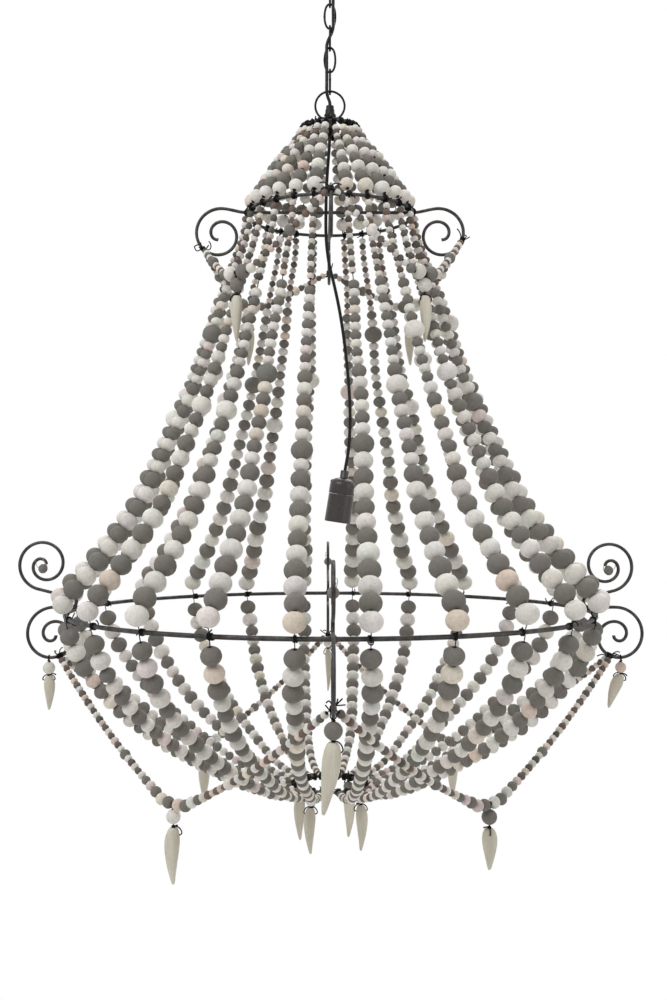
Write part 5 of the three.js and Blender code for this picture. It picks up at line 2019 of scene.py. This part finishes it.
@dataclass
class LampDrop:
    """The flex beside the chain, and the lampholder on its own drop of flex inside the beads.

    Args:
        flex: the flex's radius.
        tilt: how far the lampholder leans.
        bite: how far the flex goes into it.
        supply: the route of the flex beside the chain, from the hanging loop's middle.
        drop: the route of the flex in the basket, from there too.
        cap: the section of the lampholder's cap, from where the flex goes in.
        shell: that of its shell.
        insert: that of its ceramic.
        contact: that of its contact.
        lug: that of the screw lug on the cap.
        thread_pitch: the rise of each turn of its thread.
    """

    flex: float = 2.5
    tilt: float = math.radians(8.5)
    bite: float = 5
    supply: tuple = ((0, 0, 0.4), (0, -0.1, 3), (-0.9, -0.8, 7.5), (-3.1, -2.4, 12.5), (-4.7, -4, 18),
                     (-5.1, -5, 24), (-5, -5, 32), (-5, -5, 60), (-5, -5, 82), (-4.9, -4.6, 92),
                     (-2.7, -3.2, 100), (0, -2.8, 106), (2.7, -3.2, 112), (4.9, -4.6, 120),
                     (5, -4.9, 130), (4.9, -4.9, 160), (5.2, -5.2, 185), (6.6, -6.6, 203),
                     (7.8, -7.8, 216))
    drop: tuple = ((0, 0, 0.1), (0, 0, -14), (0, 0, -28), (0, 0, -40), (-1, -1.2, -62), (-3.4, -4, -95),
                   (-5.8, -5.9, -140), (-6.2, -6.2, -165), (-6.4, -6.2, -180), (-5.2, -5.6, -215),
                   (-1.2, -4.4, -245), (6, -3.2, -275), (13, -2, -307), (19.5, -1, -345), (25, 0, -388),
                   (29, 0, -430), (31, 0, -470), (30.6, 0, -505), (27.6, 0, -538), (23.2, 0, -563))
    cap: tuple = ((2.8, 5), (5.4, 5), (6.1, 4.5), (6.4, 3.8), (6.4, -6.4), (6.8, -6.9), (8.4, -7.2),
                  (11.6, -8.1), (14.6, -9.6), (17.1, -11.8), (18.9, -14.4), (19.7, -16.8),
                  (19.8, -18.4), (19.9, -31.4), (19.6, -31.9), (17, -31.9), (17, -16), (10, -10.4),
                  (2.8, -9))
    shell: tuple = ((3, -32.6), (19.2, -32.6), (19.4, -33.2), (19.5, -34.4), (19.65, -50), (19.9, -68),
                    (20, -72.5), (19.9, -74.8), (19.2, -75.8), (17.6, -76), (14.6, -76), (13.9, -75.4),
                    (13.8, -74), (13.8, -46), (3, -46))
    insert: tuple = ((13.0, -46.2), (13.0, -48), (9.5, -48.2), (9.2, -50.4), (3.2, -50.6), (3.2, -46.2))
    contact: tuple = ((0.4, -50.2), (2.7, -50.3), (3.0, -51.6), (2.2, -52.8), (0.5, -53.2))
    lug: tuple = ((2.2, 1.6), (2.6, 1.2), (2.6, -0.6), (2.4, -0.8))
    thread_pitch: float = 3.6

    def build(self) -> None:
        """Builds the lampholder, its drop of flex and the flex beside the chain."""
        axis = np.array([math.sin(self.tilt), 0, math.cos(self.tilt)])
        entry = np.array(self.drop[-1]) + UP * SKELETON.loop_z - axis * self.bite
        self.lamp_cord(entry, self.holder(entry, axis))
        self.supply_cord()

    def lamp_cord(self, entry: np.ndarray, pieces: list[bpy.types.Object]) -> None:
        """Lays the drop from the grip to the lampholder.

        Args:
            entry: where it goes into the lampholder.
            pieces: the lampholder's pieces; not used.
        """
        route = [*(np.array(self.drop) + UP * SKELETON.loop_z), entry]
        line = Line(route, 4.0)
        cord = Stock(sweep(line.points, self.flex, 14)).make("lamp_cord_sheath", SHEATH, None, ["lamp_cord"])
        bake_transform(cord)

    def supply_cord(self) -> None:
        """Lays the flex beside the chain, in stretches that each bend between two links."""
        line = Line(np.array(self.supply) + UP * SKELETON.loop_z, 2.5)
        chain = Chain()
        middles = [chain.first_top - k * chain.step - chain.length / 2 for k in (4, 3, 2, 1, 0)]
        heights = [float(line.points[0][2]), *middles, float(line.points[-1][2])]
        for k, (low, high) in enumerate(zip(heights, heights[1:])):
            start, end = (float(np.interp(h, line.points[:, 2], line.run)) for h in (low, high))
            stretch = Stock(sweep(line.part(start, end, 2.5), self.flex, 14))
            piece = stretch.make(f"supply_flex_{k + 1}", SHEATH, None, ["supply_cord"] if k == 0 else [])
            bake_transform(piece)

    def thread(self) -> list[tuple[float, float]]:
        """Gives the section of the lampholder's thread.

        Returns:
            Pairs of radius and height, from where the cord goes in.
        """
        turns = [(r, z + self.thread_pitch * k) for k in range(7)
                 for r, z in ((13.5, -72.4), (12.9, -71.4), (12.7, -70.6), (12.9, -69.8))]
        return [(13.6, -73), *turns, (13.4, -47), (13.7, -47)]

    def holder(self, entry: np.ndarray, axis: np.ndarray) -> list[bpy.types.Object]:
        """Builds the lampholder: a moulded cap, a shell, the socket's ceramic, its thread and its contact.

        Args:
            entry: where the cord goes in.
            axis: its upward direction.

        Returns:
            Its pieces.
        """
        turn = np.stack([np.array([axis[2], 0, -axis[0]]), BACK, axis], -1)
        lug = placed(lathe(self.lug, 18), np.array([-17.6, 0, -13.4]),
                     frame_of(np.array([-1.0, 0, 0.8]) / math.hypot(1, 0.8)))
        made = []
        for name, profile, finish, extra in (
                ("cap_moulded", self.cap, BAKELITE, [lug]), ("shell_moulded", self.shell, BAKELITE, []),
                ("thread", self.thread(), BRASS, []), ("insulator", self.insert, CERAMIC, []),
                ("contact", self.contact, BRASS, [])):
            shapes = [lathe(profile, 64, closed=name != "contact"), *extra]
            stands = [f"lampholder_{name.split('_')[0]}"] if finish is BAKELITE else []
            stock = Stock(*[placed(shape, entry, turn) for shape in shapes])
            made.append(stock.make(f"lampholder_{name}", finish, "lamp", stands))
        return made


def main() -> None:
    """Builds the studio and the chandelier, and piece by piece."""
    logging.basicConfig(level=logging.INFO, format="%(message)s")
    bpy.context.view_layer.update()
    for part in (Studio(), LampDrop(), CeilingFitting(), Chain(), Crown(), IronFrame(), Strands(), Swags(),
                 Pendants()):
        part.build()
        log.info("built %s", type(part).__name__)
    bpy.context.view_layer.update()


if __name__ == "__main__":
    main()
